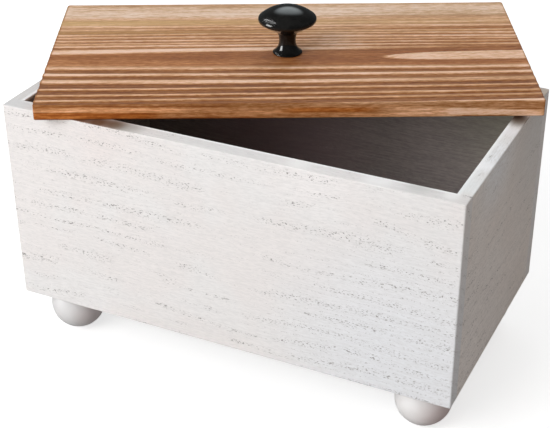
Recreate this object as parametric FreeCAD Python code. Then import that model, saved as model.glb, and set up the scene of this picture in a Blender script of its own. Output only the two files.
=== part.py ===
import FreeCAD, Part
import math
import os

from FreeCAD import Placement, Rotation, Vector

# A rectangular wooden box on four ball feet, open at the top, with a loose lid board that lies
# askew on its rim and lifts by a turned mushroom knob.
# Millimetres. The origin is on the surface that the box stands on, midway between its feet.
# +X runs along the box's length, -Y is its front and +Z is up.

# ---- Carcass: two long boards with the two end boards butted between them ----
box_length = 250.0
box_depth = 138.0
wall_height = 114.5
long_board_thickness = 9.0
end_board_thickness = 7.5
corner_rounding = 0.9        # the four upright corners, sanded after gluing
outer_arris_rounding = 0.6   # the outer edges of the rim and of the bottom
inner_arris_rounding = 0.5   # the inner edge of the rim

# ---- Base panel, let in between the four boards, flush with their lower edges ----
base_thickness = 5.0

# ---- Ball feet: a turned ball with a flat seat above and a small flat where it stands ----
foot_diameter = 30.0
foot_seat_radius = 7.5
foot_floor_radius = 3.8
foot_inset = 20.5            # the ball's axis, in from the two outer faces of its corner

# ---- Countersunk wood screws that hold the feet ----
foot_screw_radius = 1.5
foot_screw_head_radius = 2.8
foot_screw_length = 18.0
foot_screw_tip = 2.5
foot_screw_head_sink = 0.2   # the head's face lies this far under the panel's face

# ---- Brads, flat wire nails with a T head, driven in and punched under the surface ----
brad_width = 1.3
brad_thickness = 1.05
brad_head_width = 2.0
brad_head_height = 1.0
brad_length = 19.0
brad_tip = 1.5
brad_cover = 1.0             # filler and whitewash over the head
brads_in_a_corner = 3
brad_edge_distance = 14.0    # the end brads of a corner row, in from the rim and the base
brads_under_a_long_board = 3
brads_under_an_end_board = 2
base_brad_inset = 30.0       # the end brads of a base row, in from the panel's corners

drive_gap = 0.02             # round a screw or a brad in wood

# ---- Lid board, loose on the rim ----
lid_thickness = 9.0
lid_end_overhang = 3.5       # past each end of the box when the lid is on straight
lid_edge_overhang = 0.0      # past the front and the back when the lid is on straight
lid_corner_rounding = 0.6
lid_arris_rounding = 0.5
lid_turn_degrees = 26.15     # as it lies now, turned anticlockwise seen from above
lid_moved_left = 14.4
lid_moved_back = 40.6

# ---- Growth rings of the lid: crests left between grooves that the brush wore out ----
wide_crest_first = 4.4       # the first crest, in from the front edge
wide_crest_pitch = 5.9
wide_crest_growth = 0.9      # each space is this much wider than the one before
wide_crest_count = 6
wide_crest_flat = 1.5
wide_groove_depth = 0.8
fine_crest_first = 69.5
fine_crest_pitch = 4.05
fine_crest_count = 10
fine_crest_flat = 1.5
fine_groove_depth = 0.35

# ---- Knob, a turned mushroom on a trumpet neck ----
knob_forward = 5.2           # its hole, in front of the lid's centre
knob_base_radius = 8.0
knob_lip_height = 0.8        # the thin lip that stands on the lid
knob_lip_step = 0.3          # the lip stands out this far past the foot of the neck
knob_neck_radius = 4.5
knob_neck_height = 7.0       # the narrowest place
knob_throat_radius = 5.5
knob_throat_height = 12.0    # where the neck turns out into the cap
knob_underside_bulge = 0.1   # of the cap's underside, out from a straight cone
knob_cap_radius = 15.7
knob_cap_height = 19.2       # the widest place
knob_rim_half_height = 1.7
knob_rim_roll = 1.1          # how far the rim's edges turn in
knob_dome_rise = 5.4         # of the crown over the top of the rim

# ---- Pan head machine screw that holds the knob ----
knob_screw_radius = 2.0
knob_screw_length = 18.0
knob_screw_head_radius = 4.0
knob_screw_head_height = 2.4
knob_screw_head_rounding = 1.0
knob_hole_clearance = 0.25   # round the screw in the lid
knob_thread_gap = 0.05       # round the screw in the knob
knob_bore_spare = 1.5        # of bore past the screw's end

# ---- Places worked out from the sizes above ----
foot_radius = foot_diameter / 2
foot_centre_to_seat = math.sqrt(foot_radius**2 - foot_seat_radius**2)
foot_centre_to_floor = math.sqrt(foot_radius**2 - foot_floor_radius**2)
base_level = foot_centre_to_floor + foot_centre_to_seat
base_top_level = base_level + base_thickness
rim_level = base_level + wall_height
half_length = box_length / 2
half_depth = box_depth / 2
inner_half_length = half_length - end_board_thickness
inner_half_depth = half_depth - long_board_thickness
lid_length = box_length + 2 * lid_end_overhang
lid_depth = box_depth + 2 * lid_edge_overhang
foot_places = {
    "foot_front_left": Vector(-half_length + foot_inset, -half_depth + foot_inset, 0),
    "foot_front_right": Vector(half_length - foot_inset, -half_depth + foot_inset, 0),
    "foot_back_left": Vector(-half_length + foot_inset, half_depth - foot_inset, 0),
    "foot_back_right": Vector(half_length - foot_inset, half_depth - foot_inset, 0),
}

up = Vector(0, 0, 1)
cut_margin = 1.0             # by which a cutting tool runs past the face that it cuts
joined_within = 1e-6         # two places nearer than this are one


def line(start, end):
    """Return a straight edge between two points."""
    return Part.LineSegment(start, end).toShape()


def arc(start, middle, end):
    """Return a circular edge through three points."""
    return Part.Arc(start, middle, end).toShape()


def turned(edges):
    """Return the solid that a closed half section in the XZ plane makes about Z."""
    section = Part.Face(Part.Wire(edges))
    return section.revolve(Vector(0, 0, 0), up, 360)


def turned_outline(points):
    """Return the turned solid of a half section with straight sides, from (radius, height)s."""
    corners = [Vector(radius, 0, height) for radius, height in points]
    edges = [line(start, end) for start, end in zip(corners, corners[1:] + corners[:1])]
    return turned(edges)


def block(low, high):
    """Return the box between its lowest and highest corners."""
    return Part.makeBox(high.x - low.x, high.y - low.y, high.z - low.z, low)


def spread(first, last, count):
    """Return evenly spaced places, the first and last of them at the two ends."""
    step = (last - first) / (count - 1)
    return [first + step * index for index in range(count)]


# ---------------------------------------------------------------- carcass


def edges_at(shape, level, half_x, half_y):
    """Return the edges at a level that run inside a band round a rectangle's outline."""
    found = []
    for edge in shape.Edges:
        middle = edge.BoundBox.Center
        level_here = abs(middle.z - level) < joined_within and edge.BoundBox.ZLength < joined_within
        near_end = abs(abs(middle.x) - half_x) < corner_rounding
        near_side = abs(abs(middle.y) - half_y) < corner_rounding
        if level_here and (near_end or near_side):
            found.append(edge)
    return found


def carcass_ring():
    """Return the four walls as one rounded ring, the shape that sanding leaves them in."""
    outside = block(
        Vector(-half_length, -half_depth, base_level), Vector(half_length, half_depth, rim_level)
    )
    uprights = [edge for edge in outside.Edges if edge.BoundBox.ZLength > wall_height / 2]
    outside = outside.makeFillet(corner_rounding, uprights)
    outer_edges = edges_at(outside, rim_level, half_length, half_depth)
    outer_edges += edges_at(outside, base_level, half_length, half_depth)
    outside = outside.makeFillet(outer_arris_rounding, outer_edges)
    cavity = block(
        Vector(-inner_half_length, -inner_half_depth, base_level - cut_margin),
        Vector(inner_half_length, inner_half_depth, rim_level + cut_margin),
    )
    ring = outside.cut(cavity)
    inner_edges = edges_at(ring, rim_level, inner_half_length, inner_half_depth)
    return ring.makeFillet(inner_arris_rounding, inner_edges)


def long_board(ring, side):
    """Return the front (side -1) or back (side 1) board, the full length of the box."""
    low_y = min(side * half_depth, side * inner_half_depth)
    blank = block(
        Vector(-half_length, low_y, base_level),
        Vector(half_length, low_y + long_board_thickness, rim_level),
    )
    return ring.common(blank)


def end_board(ring, side):
    """Return the left (side -1) or right (side 1) board, butted between the long boards."""
    low_x = min(side * half_length, side * inner_half_length)
    blank = block(
        Vector(low_x, -inner_half_depth, base_level),
        Vector(low_x + end_board_thickness, inner_half_depth, rim_level),
    )
    return ring.common(blank)


# ---------------------------------------------------------------- brads


def brad_shape(gap):
    """Return a brad that points down from a head at the origin, grown by a gap all round."""
    head = brad_head_width / 2 + gap
    shank = brad_width / 2 + gap
    depth = brad_thickness / 2 + gap
    shoulder = -brad_head_height - gap
    outline = [
        (-head, gap),
        (head, gap),
        (head, shoulder),
        (shank, shoulder),
        (shank, -brad_length + brad_tip - gap),
        (0, -brad_length - gap),
        (-shank, -brad_length + brad_tip - gap),
        (-shank, shoulder),
        (-head, shoulder),
    ]
    corners = [Vector(across, -depth, height) for across, height in outline]
    face = Part.Face(Part.makePolygon(corners + corners[:1]))
    return face.extrude(Vector(0, 2 * depth, 0))


def driven(place, grain, outward):
    """Return the placement of a brad: its T head along the grain, facing outward."""
    return Placement(place, Rotation(grain, outward.cross(grain), outward, "ZXY"))


def brad_placements():
    """Return where every brad lies: three to a corner and a row round the base panel."""
    head_y = half_depth - brad_cover
    head_x = half_length - brad_cover
    corner_x = half_length - end_board_thickness / 2
    edge_level = base_level + base_thickness / 2
    heights = spread(
        base_top_level + brad_edge_distance, rim_level - brad_edge_distance, brads_in_a_corner
    )
    along = spread(
        -inner_half_length + base_brad_inset,
        inner_half_length - base_brad_inset,
        brads_under_a_long_board,
    )
    across = spread(
        -inner_half_depth + base_brad_inset,
        inner_half_depth - base_brad_inset,
        brads_under_an_end_board,
    )
    length_way = Vector(1, 0, 0)
    depth_way = Vector(0, 1, 0)
    placements = []
    for side in (-1, 1):
        long_board_out = depth_way * side
        end_board_out = length_way * side
        for height in heights:
            for end in (-1, 1):
                place = Vector(end * corner_x, side * head_y, height)
                placements.append(driven(place, length_way, long_board_out))
        for x in along:
            place = Vector(x, side * head_y, edge_level)
            placements.append(driven(place, length_way, long_board_out))
        for y in across:
            place = Vector(side * head_x, y, edge_level)
            placements.append(driven(place, depth_way, end_board_out))
    return placements


def placed_copies(shape, placements):
    """Return one compound of a shape set down at every placement."""
    copies = []
    for placement in placements:
        copy = shape.copy()
        copy.Placement = placement
        copies.append(copy)
    return Part.makeCompound(copies)


# ---------------------------------------------------------------- base and feet


def foot_screw_shape(gap):
    """Return a countersunk screw that points down from the base's upper face."""
    shank = foot_screw_radius + gap
    head = foot_screw_head_radius + gap
    face = -foot_screw_head_sink
    head_height = foot_screw_head_radius - foot_screw_radius
    return turned_outline([
        (0, face),
        (head, face),
        (shank, face - head_height),
        (shank, face - foot_screw_length + foot_screw_tip),
        (0, face - foot_screw_length - gap),
    ])


def foot_screw_hole():
    """Return the room of a foot screw: its own shape and the recess over its head."""
    recess = Part.makeCylinder(
        foot_screw_head_radius + drive_gap,
        foot_screw_head_sink + cut_margin,
        Vector(0, 0, -foot_screw_head_sink),
    )
    return foot_screw_shape(drive_gap).fuse(recess)


def foot_screw_placements():
    """Return where the four foot screws go in, at the level of the base's upper face."""
    lift = Vector(0, 0, base_top_level)
    return [Placement(place + lift, Rotation()) for place in foot_places.values()]


def base_panel():
    """Return the panel that closes the box below, before its screw holes."""
    return block(
        Vector(-inner_half_length, -inner_half_depth, base_level),
        Vector(inner_half_length, inner_half_depth, base_top_level),
    )


def ball_foot():
    """Return one foot on the Z axis, standing on Z = 0: a ball between two flats."""
    centre = foot_centre_to_floor
    floor_edge = Vector(foot_floor_radius, 0, 0)
    seat_edge = Vector(foot_seat_radius, 0, base_level)
    widest = Vector(foot_radius, 0, centre)
    return turned([
        line(Vector(0, 0, 0), floor_edge),
        arc(floor_edge, widest, seat_edge),
        line(seat_edge, Vector(0, 0, base_level)),
        line(Vector(0, 0, base_level), Vector(0, 0, 0)),
    ])


# ---------------------------------------------------------------- lid


def lid_placement():
    """Return how the lid lies: turned, moved off the box's centre, flat on the rim."""
    place = Vector(-lid_moved_left, lid_moved_back, rim_level)
    return Placement(place, Rotation(up, lid_turn_degrees))


def wide_crests():
    """Return the broad rings' crests, in from the front edge, each space wider than the last."""
    crests = []
    place = wide_crest_first
    for index in range(wide_crest_count):
        crests.append(place)
        place += wide_crest_pitch + wide_crest_growth * index
    return crests


def fine_crests():
    """Return the narrow rings' crests, in from the front edge."""
    return [fine_crest_first + fine_crest_pitch * index for index in range(fine_crest_count)]


def grooves_between(crests, flat, depth):
    """Return (start, end, depth) of the grooves between crests, each crest keeping its flat."""
    return [
        (near + flat / 2, far - flat / 2, depth)
        for near, far in zip(crests, crests[1:])
    ]


def lid_grooves():
    """Return every groove's start, end and depth, in from the front edge."""
    first_end = wide_crest_first - wide_crest_flat / 2
    grooves = [(lid_arris_rounding, first_end, wide_groove_depth)]
    grooves += grooves_between(wide_crests(), wide_crest_flat, wide_groove_depth)
    grooves += grooves_between(fine_crests(), fine_crest_flat, fine_groove_depth)
    return grooves


def rounded_arris(side, level, rounding):
    """Return the round of one long edge in the lid's section.

    side is -1 for the front and 1 for the back; level is -1 for the underside and 1 for the top.
    """
    across = side * (lid_depth / 2 - rounding)
    height = lid_thickness / 2 + level * (lid_thickness / 2 - rounding)
    diagonal = rounding * math.sqrt(0.5)
    beside = Vector(0, across + side * rounding, height)
    between = Vector(0, across + side * diagonal, height + level * diagonal)
    above = Vector(0, across, height + level * rounding)
    return beside, between, above


def lid_section():
    """Return the lid's section in the YZ plane: a flat underside and a ribbed top."""
    front_top = rounded_arris(-1, 1, lid_arris_rounding)
    back_top = rounded_arris(1, 1, lid_arris_rounding)
    front_low = rounded_arris(-1, -1, lid_arris_rounding)
    back_low = rounded_arris(1, -1, lid_arris_rounding)
    edges = [arc(*front_top)]
    reached = front_top[2]
    for start, end, depth in lid_grooves():
        near = Vector(0, start - lid_depth / 2, lid_thickness)
        far = Vector(0, end - lid_depth / 2, lid_thickness)
        bottom = (near + far) / 2 - up * depth
        if near.y > reached.y + joined_within:
            edges.append(line(reached, near))
        edges.append(arc(near, bottom, far))
        reached = far
    edges += [
        line(reached, back_top[2]),
        arc(back_top[2], back_top[1], back_top[0]),
        line(back_top[0], back_low[0]),
        arc(*back_low),
        line(back_low[2], front_low[2]),
        arc(front_low[2], front_low[1], front_low[0]),
        line(front_low[0], front_top[0]),
    ]
    return Part.Face(Part.Wire(edges))


def lid_board():
    """Return the ribbed lid board, centred on the Z axis, its underside on Z = 0."""
    half_x = lid_length / 2
    half_y = lid_depth / 2
    section = lid_section()
    section.translate(Vector(-half_x, 0, 0))
    ribbed = section.extrude(Vector(lid_length, 0, 0))
    plan = block(Vector(-half_x, -half_y, 0), Vector(half_x, half_y, lid_thickness))
    uprights = [edge for edge in plan.Edges if edge.BoundBox.ZLength > lid_thickness / 2]
    plan = plan.makeFillet(lid_corner_rounding, uprights)
    screw_hole = Part.makeCylinder(
        knob_screw_radius + knob_hole_clearance,
        lid_thickness + 2 * cut_margin,
        Vector(0, -knob_forward, -cut_margin),
    )
    return ribbed.common(plan).cut(screw_hole)


# ---------------------------------------------------------------- knob


def neck_arc(narrow, end):
    """Return the hollow arc that leaves the neck's narrowest place upright and ends at a point."""
    out = end.x - narrow.x
    rise = end.z - narrow.z
    radius = (out**2 + rise**2) / (2 * out)
    half_turn = math.atan2(abs(rise), radius - out) / 2
    middle = Vector(
        narrow.x + radius * (1 - math.cos(half_turn)),
        0,
        narrow.z + math.copysign(radius * math.sin(half_turn), rise),
    )
    return arc(narrow, middle, end)


def dome_arc(edge, crown):
    """Return the round arc from the rim's top edge up to the crown on the axis."""
    rise = crown.z - edge.z
    radius = (edge.x**2 + rise**2) / (2 * rise)
    half_turn = math.asin(edge.x / radius) / 2
    middle = Vector(
        radius * math.sin(half_turn), 0, crown.z - radius * (1 - math.cos(half_turn))
    )
    return arc(edge, middle, crown)


def knob():
    """Return the knob on the Z axis, its base on Z = 0, with the blind bore for its screw."""
    lip_in = knob_base_radius - knob_lip_step
    rim_in = knob_cap_radius - knob_rim_roll
    foot = Vector(0, 0, 0)
    lip_low = Vector(lip_in, 0, 0)
    lip_out = Vector(knob_base_radius, 0, knob_lip_height / 2)
    lip_high = Vector(lip_in, 0, knob_lip_height)
    neck = Vector(knob_neck_radius, 0, knob_neck_height)
    throat = Vector(knob_throat_radius, 0, knob_throat_height)
    rim_low = Vector(rim_in, 0, knob_cap_height - knob_rim_half_height)
    rim_out = Vector(knob_cap_radius, 0, knob_cap_height)
    rim_high = Vector(rim_in, 0, knob_cap_height + knob_rim_half_height)
    crown = Vector(0, 0, rim_high.z + knob_dome_rise)
    underside = (throat + rim_low) / 2 - up * knob_underside_bulge
    body = turned([
        line(foot, lip_low),
        arc(lip_low, lip_out, lip_high),
        neck_arc(neck, lip_high),
        neck_arc(neck, throat),
        arc(throat, underside, rim_low),
        arc(rim_low, rim_out, rim_high),
        dome_arc(rim_high, crown),
        line(crown, foot),
    ])
    reach = knob_screw_length - lid_thickness
    bore = Part.makeCylinder(
        knob_screw_radius + knob_thread_gap,
        reach + knob_bore_spare + cut_margin,
        Vector(0, 0, -cut_margin),
    )
    return body.cut(bore)


def knob_screw():
    """Return the knob's screw on the Z axis, its head's bearing face on Z = 0."""
    shank = Part.makeCylinder(knob_screw_radius, knob_screw_length)
    head = Part.makeCylinder(
        knob_screw_head_radius,
        knob_screw_head_height,
        Vector(0, 0, -knob_screw_head_height),
    )
    lower_edges = [
        edge for edge in head.Edges
        if abs(edge.BoundBox.Center.z + knob_screw_head_height) < joined_within
        and edge.BoundBox.ZLength < joined_within
    ]
    head = head.makeFillet(knob_screw_head_rounding, lower_edges)
    return head.fuse(shank)


# ---------------------------------------------------------------- the whole box


def placed(shape, placement):
    """Return a copy of a shape set down at a placement."""
    copy = shape.copy()
    copy.Placement = placement
    return copy


def build():
    """Return every piece of the box by its name."""
    ring = carcass_ring()
    brad_room = placed_copies(brad_shape(drive_gap), brad_placements())
    screw_room = placed_copies(foot_screw_hole(), foot_screw_placements())
    pieces = {
        "front_board": long_board(ring, -1).cut(brad_room),
        "back_board": long_board(ring, 1).cut(brad_room),
        "left_end_board": end_board(ring, -1).cut(brad_room),
        "right_end_board": end_board(ring, 1).cut(brad_room),
        "base_panel": base_panel().cut(brad_room).cut(screw_room),
        "brads": placed_copies(brad_shape(0), brad_placements()),
        "foot_screws": placed_copies(foot_screw_shape(0), foot_screw_placements()),
    }
    for name, place in foot_places.items():
        pieces[name] = placed(ball_foot(), Placement(place, Rotation())).cut(screw_room)
    lid = lid_placement()
    knob_seat = lid.multiply(Placement(Vector(0, -knob_forward, lid_thickness), Rotation()))
    screw_seat = lid.multiply(Placement(Vector(0, -knob_forward, 0), Rotation()))
    pieces["lid_board"] = placed(lid_board(), lid)
    pieces["knob"] = placed(knob(), knob_seat)
    pieces["knob_screw"] = placed(knob_screw(), screw_seat)
    return pieces


def main():
    """Write one STEP file for each piece."""
    os.makedirs("parts", exist_ok=True)
    for name, shape in build().items():
        shape.exportStep("parts/" + name + ".step")
        print(name, len(shape.Solids), round(shape.Volume, 1), shape.isValid())


main()
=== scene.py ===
"""Looks of a whitewashed box on four ball feet, with a loose brushed lid board and a turned black knob."""

import logging
import math
from collections.abc import Sequence
from dataclasses import dataclass, field, replace
from enum import Enum
from functools import cached_property, partial, reduce
from itertools import chain
from typing import ClassVar

import bmesh
import bpy
from mathutils import Matrix, Vector, noise


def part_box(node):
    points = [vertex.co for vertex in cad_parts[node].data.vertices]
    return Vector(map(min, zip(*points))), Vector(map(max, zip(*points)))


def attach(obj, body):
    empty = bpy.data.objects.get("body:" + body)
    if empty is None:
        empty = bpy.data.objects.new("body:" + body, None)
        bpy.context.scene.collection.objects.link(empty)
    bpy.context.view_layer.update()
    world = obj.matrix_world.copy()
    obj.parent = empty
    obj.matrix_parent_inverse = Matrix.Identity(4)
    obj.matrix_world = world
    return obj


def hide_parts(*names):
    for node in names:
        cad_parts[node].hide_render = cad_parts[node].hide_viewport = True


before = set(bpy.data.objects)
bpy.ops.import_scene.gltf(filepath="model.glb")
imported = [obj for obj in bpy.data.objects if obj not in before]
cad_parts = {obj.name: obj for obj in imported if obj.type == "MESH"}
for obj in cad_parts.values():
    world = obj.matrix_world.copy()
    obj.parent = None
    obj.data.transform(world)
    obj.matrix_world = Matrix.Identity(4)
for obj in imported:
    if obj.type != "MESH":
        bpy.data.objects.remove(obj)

log = logging.getLogger("storage_box")

Pair = tuple[float, float]
Triple = tuple[float, float, float]
Colour = Triple
Socket = bpy.types.NodeSocket
Feed = Socket | float | Sequence[float]

MM = 0.001
# the values between which most of a noise lies, and nearly all of it
MOST_OF_NOISE = (0.3, 0.7)
NEARLY_ALL_OF_NOISE = (0.25, 0.75)
BODY = "root"


@dataclass(frozen=True)
class BoxSizes:
    """The carcass's own levels and inner faces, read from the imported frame, in metres."""

    inner_half_length: float
    inner_half_depth: float
    base_level: float
    rim_level: float

    @classmethod
    def from_frame(cls) -> "BoxSizes":
        """Measure the boards and the base panel.

        Returns:
            The carcass's levels and half sizes.
        """
        left_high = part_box("left_end_board")[1]
        front_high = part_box("front_board")[1]
        base_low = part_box("base_panel")[0]
        return cls(-left_high.x, -front_high.y, base_low.z, left_high.z)


# ---------------------------------------------------------------- benches for nodes


@dataclass
class NodeBench:
    """Adds and joins the nodes of one shader tree."""

    tree: bpy.types.NodeTree

    def add(
        self, kind: str, feeds: dict[str | int, Feed] | None = None, **settings: object
    ) -> bpy.types.Node:
        """Add one node.

        Args:
            kind: the node's type name.
            feeds: what goes into its input sockets, by name or number.
            settings: the node's own properties.

        Returns:
            The new node.
        """
        node = self.tree.nodes.new(kind)
        for name, value in settings.items():
            setattr(node, name, value)
        for name, value in (feeds or {}).items():
            self.feed(node.inputs[name], value)
        return node

    def feed(self, socket: Socket, value: Feed) -> None:
        """Join another socket to this one, or set its plain value.

        Args:
            socket: the input socket.
            value: an output socket, a number, a vector or a colour.
        """
        if isinstance(value, bpy.types.NodeSocket):
            self.tree.links.new(value, socket)
        elif socket.type == "RGBA" and len(value) == 3:
            socket.default_value = (*value, 1.0)
        else:
            socket.default_value = value

    def math(self, operation: str, first: Feed, second: Feed = 0.0, clamp: bool = False) -> Socket:
        """Do one sum.

        Args:
            operation: the Math node's operation.
            first: the first value.
            second: the second value.
            clamp: whether the result is held between 0 and 1.

        Returns:
            The result's socket.
        """
        node = self.add("ShaderNodeMath", {0: first, 1: second}, operation=operation, use_clamp=clamp)
        return node.outputs[0]

    def product(self, *values: Feed) -> Socket:
        """Multiply values together."""
        return reduce(partial(self.math, "MULTIPLY"), values)

    def vector(self, operation: str, first: Feed, second: Feed) -> Socket:
        """Do one sum with places.

        Args:
            operation: the Vector Math node's operation.
            first: the first place.
            second: the second place.

        Returns:
            The result's socket: a number for a distance or a dot product, and otherwise a place.
        """
        node = self.add("ShaderNodeVectorMath", {0: first, 1: second}, operation=operation)
        return node.outputs["Value" if operation in ("DISTANCE", "DOT_PRODUCT") else "Vector"]

    def parts(self, place: Feed) -> Sequence[Socket]:
        """Split a place into its X, Y and Z."""
        return self.add("ShaderNodeSeparateXYZ", {0: place}).outputs

    def blend(self, share: Feed, below: Feed, above: Feed, mode: str = "MIX") -> Socket:
        """Mix two colours.

        Args:
            share: how much of the upper colour shows.
            below: the lower colour.
            above: the upper colour.
            mode: the Mix node's blend mode.

        Returns:
            The mixed colour's socket.
        """
        node = self.add("ShaderNodeMix", {0: share, 6: below, 7: above}, data_type="RGBA", blend_type=mode)
        return node.outputs[2]

    def between(self, value: Feed, start: Feed, end: Feed, low: Feed = 0.0, high: Feed = 1.0) -> Socket:
        """Bring a value smoothly from one range to another, held at its ends.

        Args:
            value: the value.
            start: where the result is low.
            end: where the result is high.
            low: the result at the start.
            high: the result at the end.

        Returns:
            The result's socket.
        """
        feeds = {"Value": value, "From Min": start, "From Max": end, "To Min": low, "To Max": high}
        return self.add("ShaderNodeMapRange", feeds, interpolation_type="SMOOTHSTEP").outputs["Result"]

    def near(self, place: Feed, middle: Triple, full: float, reach: float, most: float = 1.0) -> Socket:
        """Mark the neighbourhood of a place, fading outwards.

        Args:
            place: where the mark is read.
            middle: the middle of the neighbourhood, in millimetres.
            full: how far out the mark stays full, in millimetres.
            reach: how far out it ends, in millimetres.
            most: the full mark.

        Returns:
            The mark's socket.
        """
        far = self.vector("DISTANCE", place, [side * MM for side in middle])
        return self.between(far, full * MM, reach * MM, most, 0.0)

    def turned(self, place: Feed, angle: float, start: Triple) -> Socket:
        """Turn a place about Z by an angle in radians and measure it from a start in metres."""
        feeds = {"Vector": place, "Rotation": (0, 0, angle), "Location": [-side for side in start]}
        return self.add("ShaderNodeMapping", feeds).outputs[0]

    def stretch(self, place: Feed, size: Triple) -> Socket:
        """Measure a place in units of a size in millimetres along each axis."""
        scale = [1 / (side * MM) for side in size]
        return self.add("ShaderNodeMapping", {"Vector": place, "Scale": scale}).outputs[0]

    def measured(self, place: Feed, along: Feed, across: Feed) -> Socket:
        """Measure a place in units of one size along X and of another across it."""
        size = self.add("ShaderNodeCombineXYZ", {0: along, 1: across, 2: across}).outputs[0]
        return self.vector("DIVIDE", place, size)

    def noise(self, place: Feed, detail: float = 2.0, roughness: float = 0.5, scale: float = 1.0) -> Socket:
        """Read a plain noise.

        Args:
            place: where it is read.
            detail: how many finer layers it has.
            roughness: how strong the finer layers are.
            scale: the pattern's scale.

        Returns:
            The noise's value socket, from 0 to 1.
        """
        feeds = {"Vector": place, "Scale": scale, "Detail": detail, "Roughness": roughness}
        return self.add("ShaderNodeTexNoise", feeds).outputs[0]

    def ramp(self, value: Feed, stops: Sequence[tuple[float, Colour]]) -> Socket:
        """Turn a value into a colour.

        Args:
            value: the value, from 0 to 1.
            stops: places on the ramp and their colours, lowest first.

        Returns:
            The colour's socket.
        """
        node = self.add("ShaderNodeValToRGB", {0: value})
        elements = node.color_ramp.elements
        while len(elements) < len(stops):
            elements.new(1.0)
        for element, (place, colour) in zip(elements, stops):
            element.position = place
            element.color = (*colour, 1.0)
        return node.outputs[0]

    def bump(self, height: Feed, distance: float, strength: float, below: Feed | None = None) -> Socket:
        """Roughen the surface.

        Args:
            height: the height, from 0 to 1.
            distance: the height's size in millimetres.
            strength: how much of it shows.
            below: an earlier bump to build on.

        Returns:
            The new normal's socket.
        """
        feeds = {"Height": height, "Distance": distance * MM, "Strength": strength}
        if below is not None:
            feeds["Normal"] = below
        return self.add("ShaderNodeBump", feeds).outputs[0]


@dataclass(frozen=True)
class SoftPatch:
    """A soft patch of another colour laid over a coat, with its place and its reach in millimetres. Some are
    tints of the coat itself, and others are painted shade, shadow, light or reflection.

    share is how much of the colour shows in its middle, and full the part of its reach that shows as much.
    """

    at: Triple
    reach: float
    colour: Colour
    share: float
    full: ClassVar[float] = 0.15


@dataclass
class MaterialBench(NodeBench):
    """The bench of one material with a Principled shader."""

    material: bpy.types.Material

    @classmethod
    def start(cls, name: str) -> "MaterialBench":
        """Start a material.

        Args:
            name: the material's name.

        Returns:
            Its bench.
        """
        material = bpy.data.materials.new(name)
        material.use_nodes = True
        return cls(material.node_tree, material)

    @cached_property
    def place(self) -> Socket:
        """The Object coordinates."""
        return self.add("ShaderNodeTexCoord").outputs["Object"]

    def overlaid(self, colour: Feed, tints_and_painted_light: Sequence[SoftPatch]) -> Feed:
        """Lay soft patches over a colour.

        Args:
            colour: the colour below.
            tints_and_painted_light: the patches.

        Returns:
            The patched colour.
        """
        for overlay in tints_and_painted_light:
            mark = self.near(self.place, overlay.at, overlay.full * overlay.reach, overlay.reach, overlay.share)
            colour = self.blend(mark, colour, overlay.colour)
        return colour

    def finished(self, feeds: dict[str, Feed]) -> bpy.types.Material:
        """Feed the shader.

        Args:
            feeds: what goes into its sockets, by name.

        Returns:
            The material.
        """
        shader = self.tree.nodes["Principled BSDF"]
        for name, value in feeds.items():
            self.feed(shader.inputs[name], value)
        return self.material


def new_group(
    name: str, values: dict[str, float], outputs: Sequence[str]
) -> tuple[NodeBench, Sequence[Socket], Sequence[Socket]]:
    """Start a shader node group that reads a place and some values.

    Args:
        name: the group's name.
        values: its inputs after Vector, each with its starting value.
        outputs: its outputs, of which only one called Vector is a place.

    Returns:
        The group's bench, the sockets of its inputs and the sockets of its outputs.
    """
    tree = bpy.data.node_groups.new(name, "ShaderNodeTree")
    tree.interface.new_socket("Vector", in_out="INPUT", socket_type="NodeSocketVector")
    for label, start in values.items():
        socket = tree.interface.new_socket(label, in_out="INPUT", socket_type="NodeSocketFloat")
        socket.default_value = start
    for label in outputs:
        kind = "NodeSocketVector" if label == "Vector" else "NodeSocketFloat"
        tree.interface.new_socket(label, in_out="OUTPUT", socket_type=kind)
    bench = NodeBench(tree)
    return bench, bench.add("NodeGroupInput").outputs, bench.add("NodeGroupOutput").inputs


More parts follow.
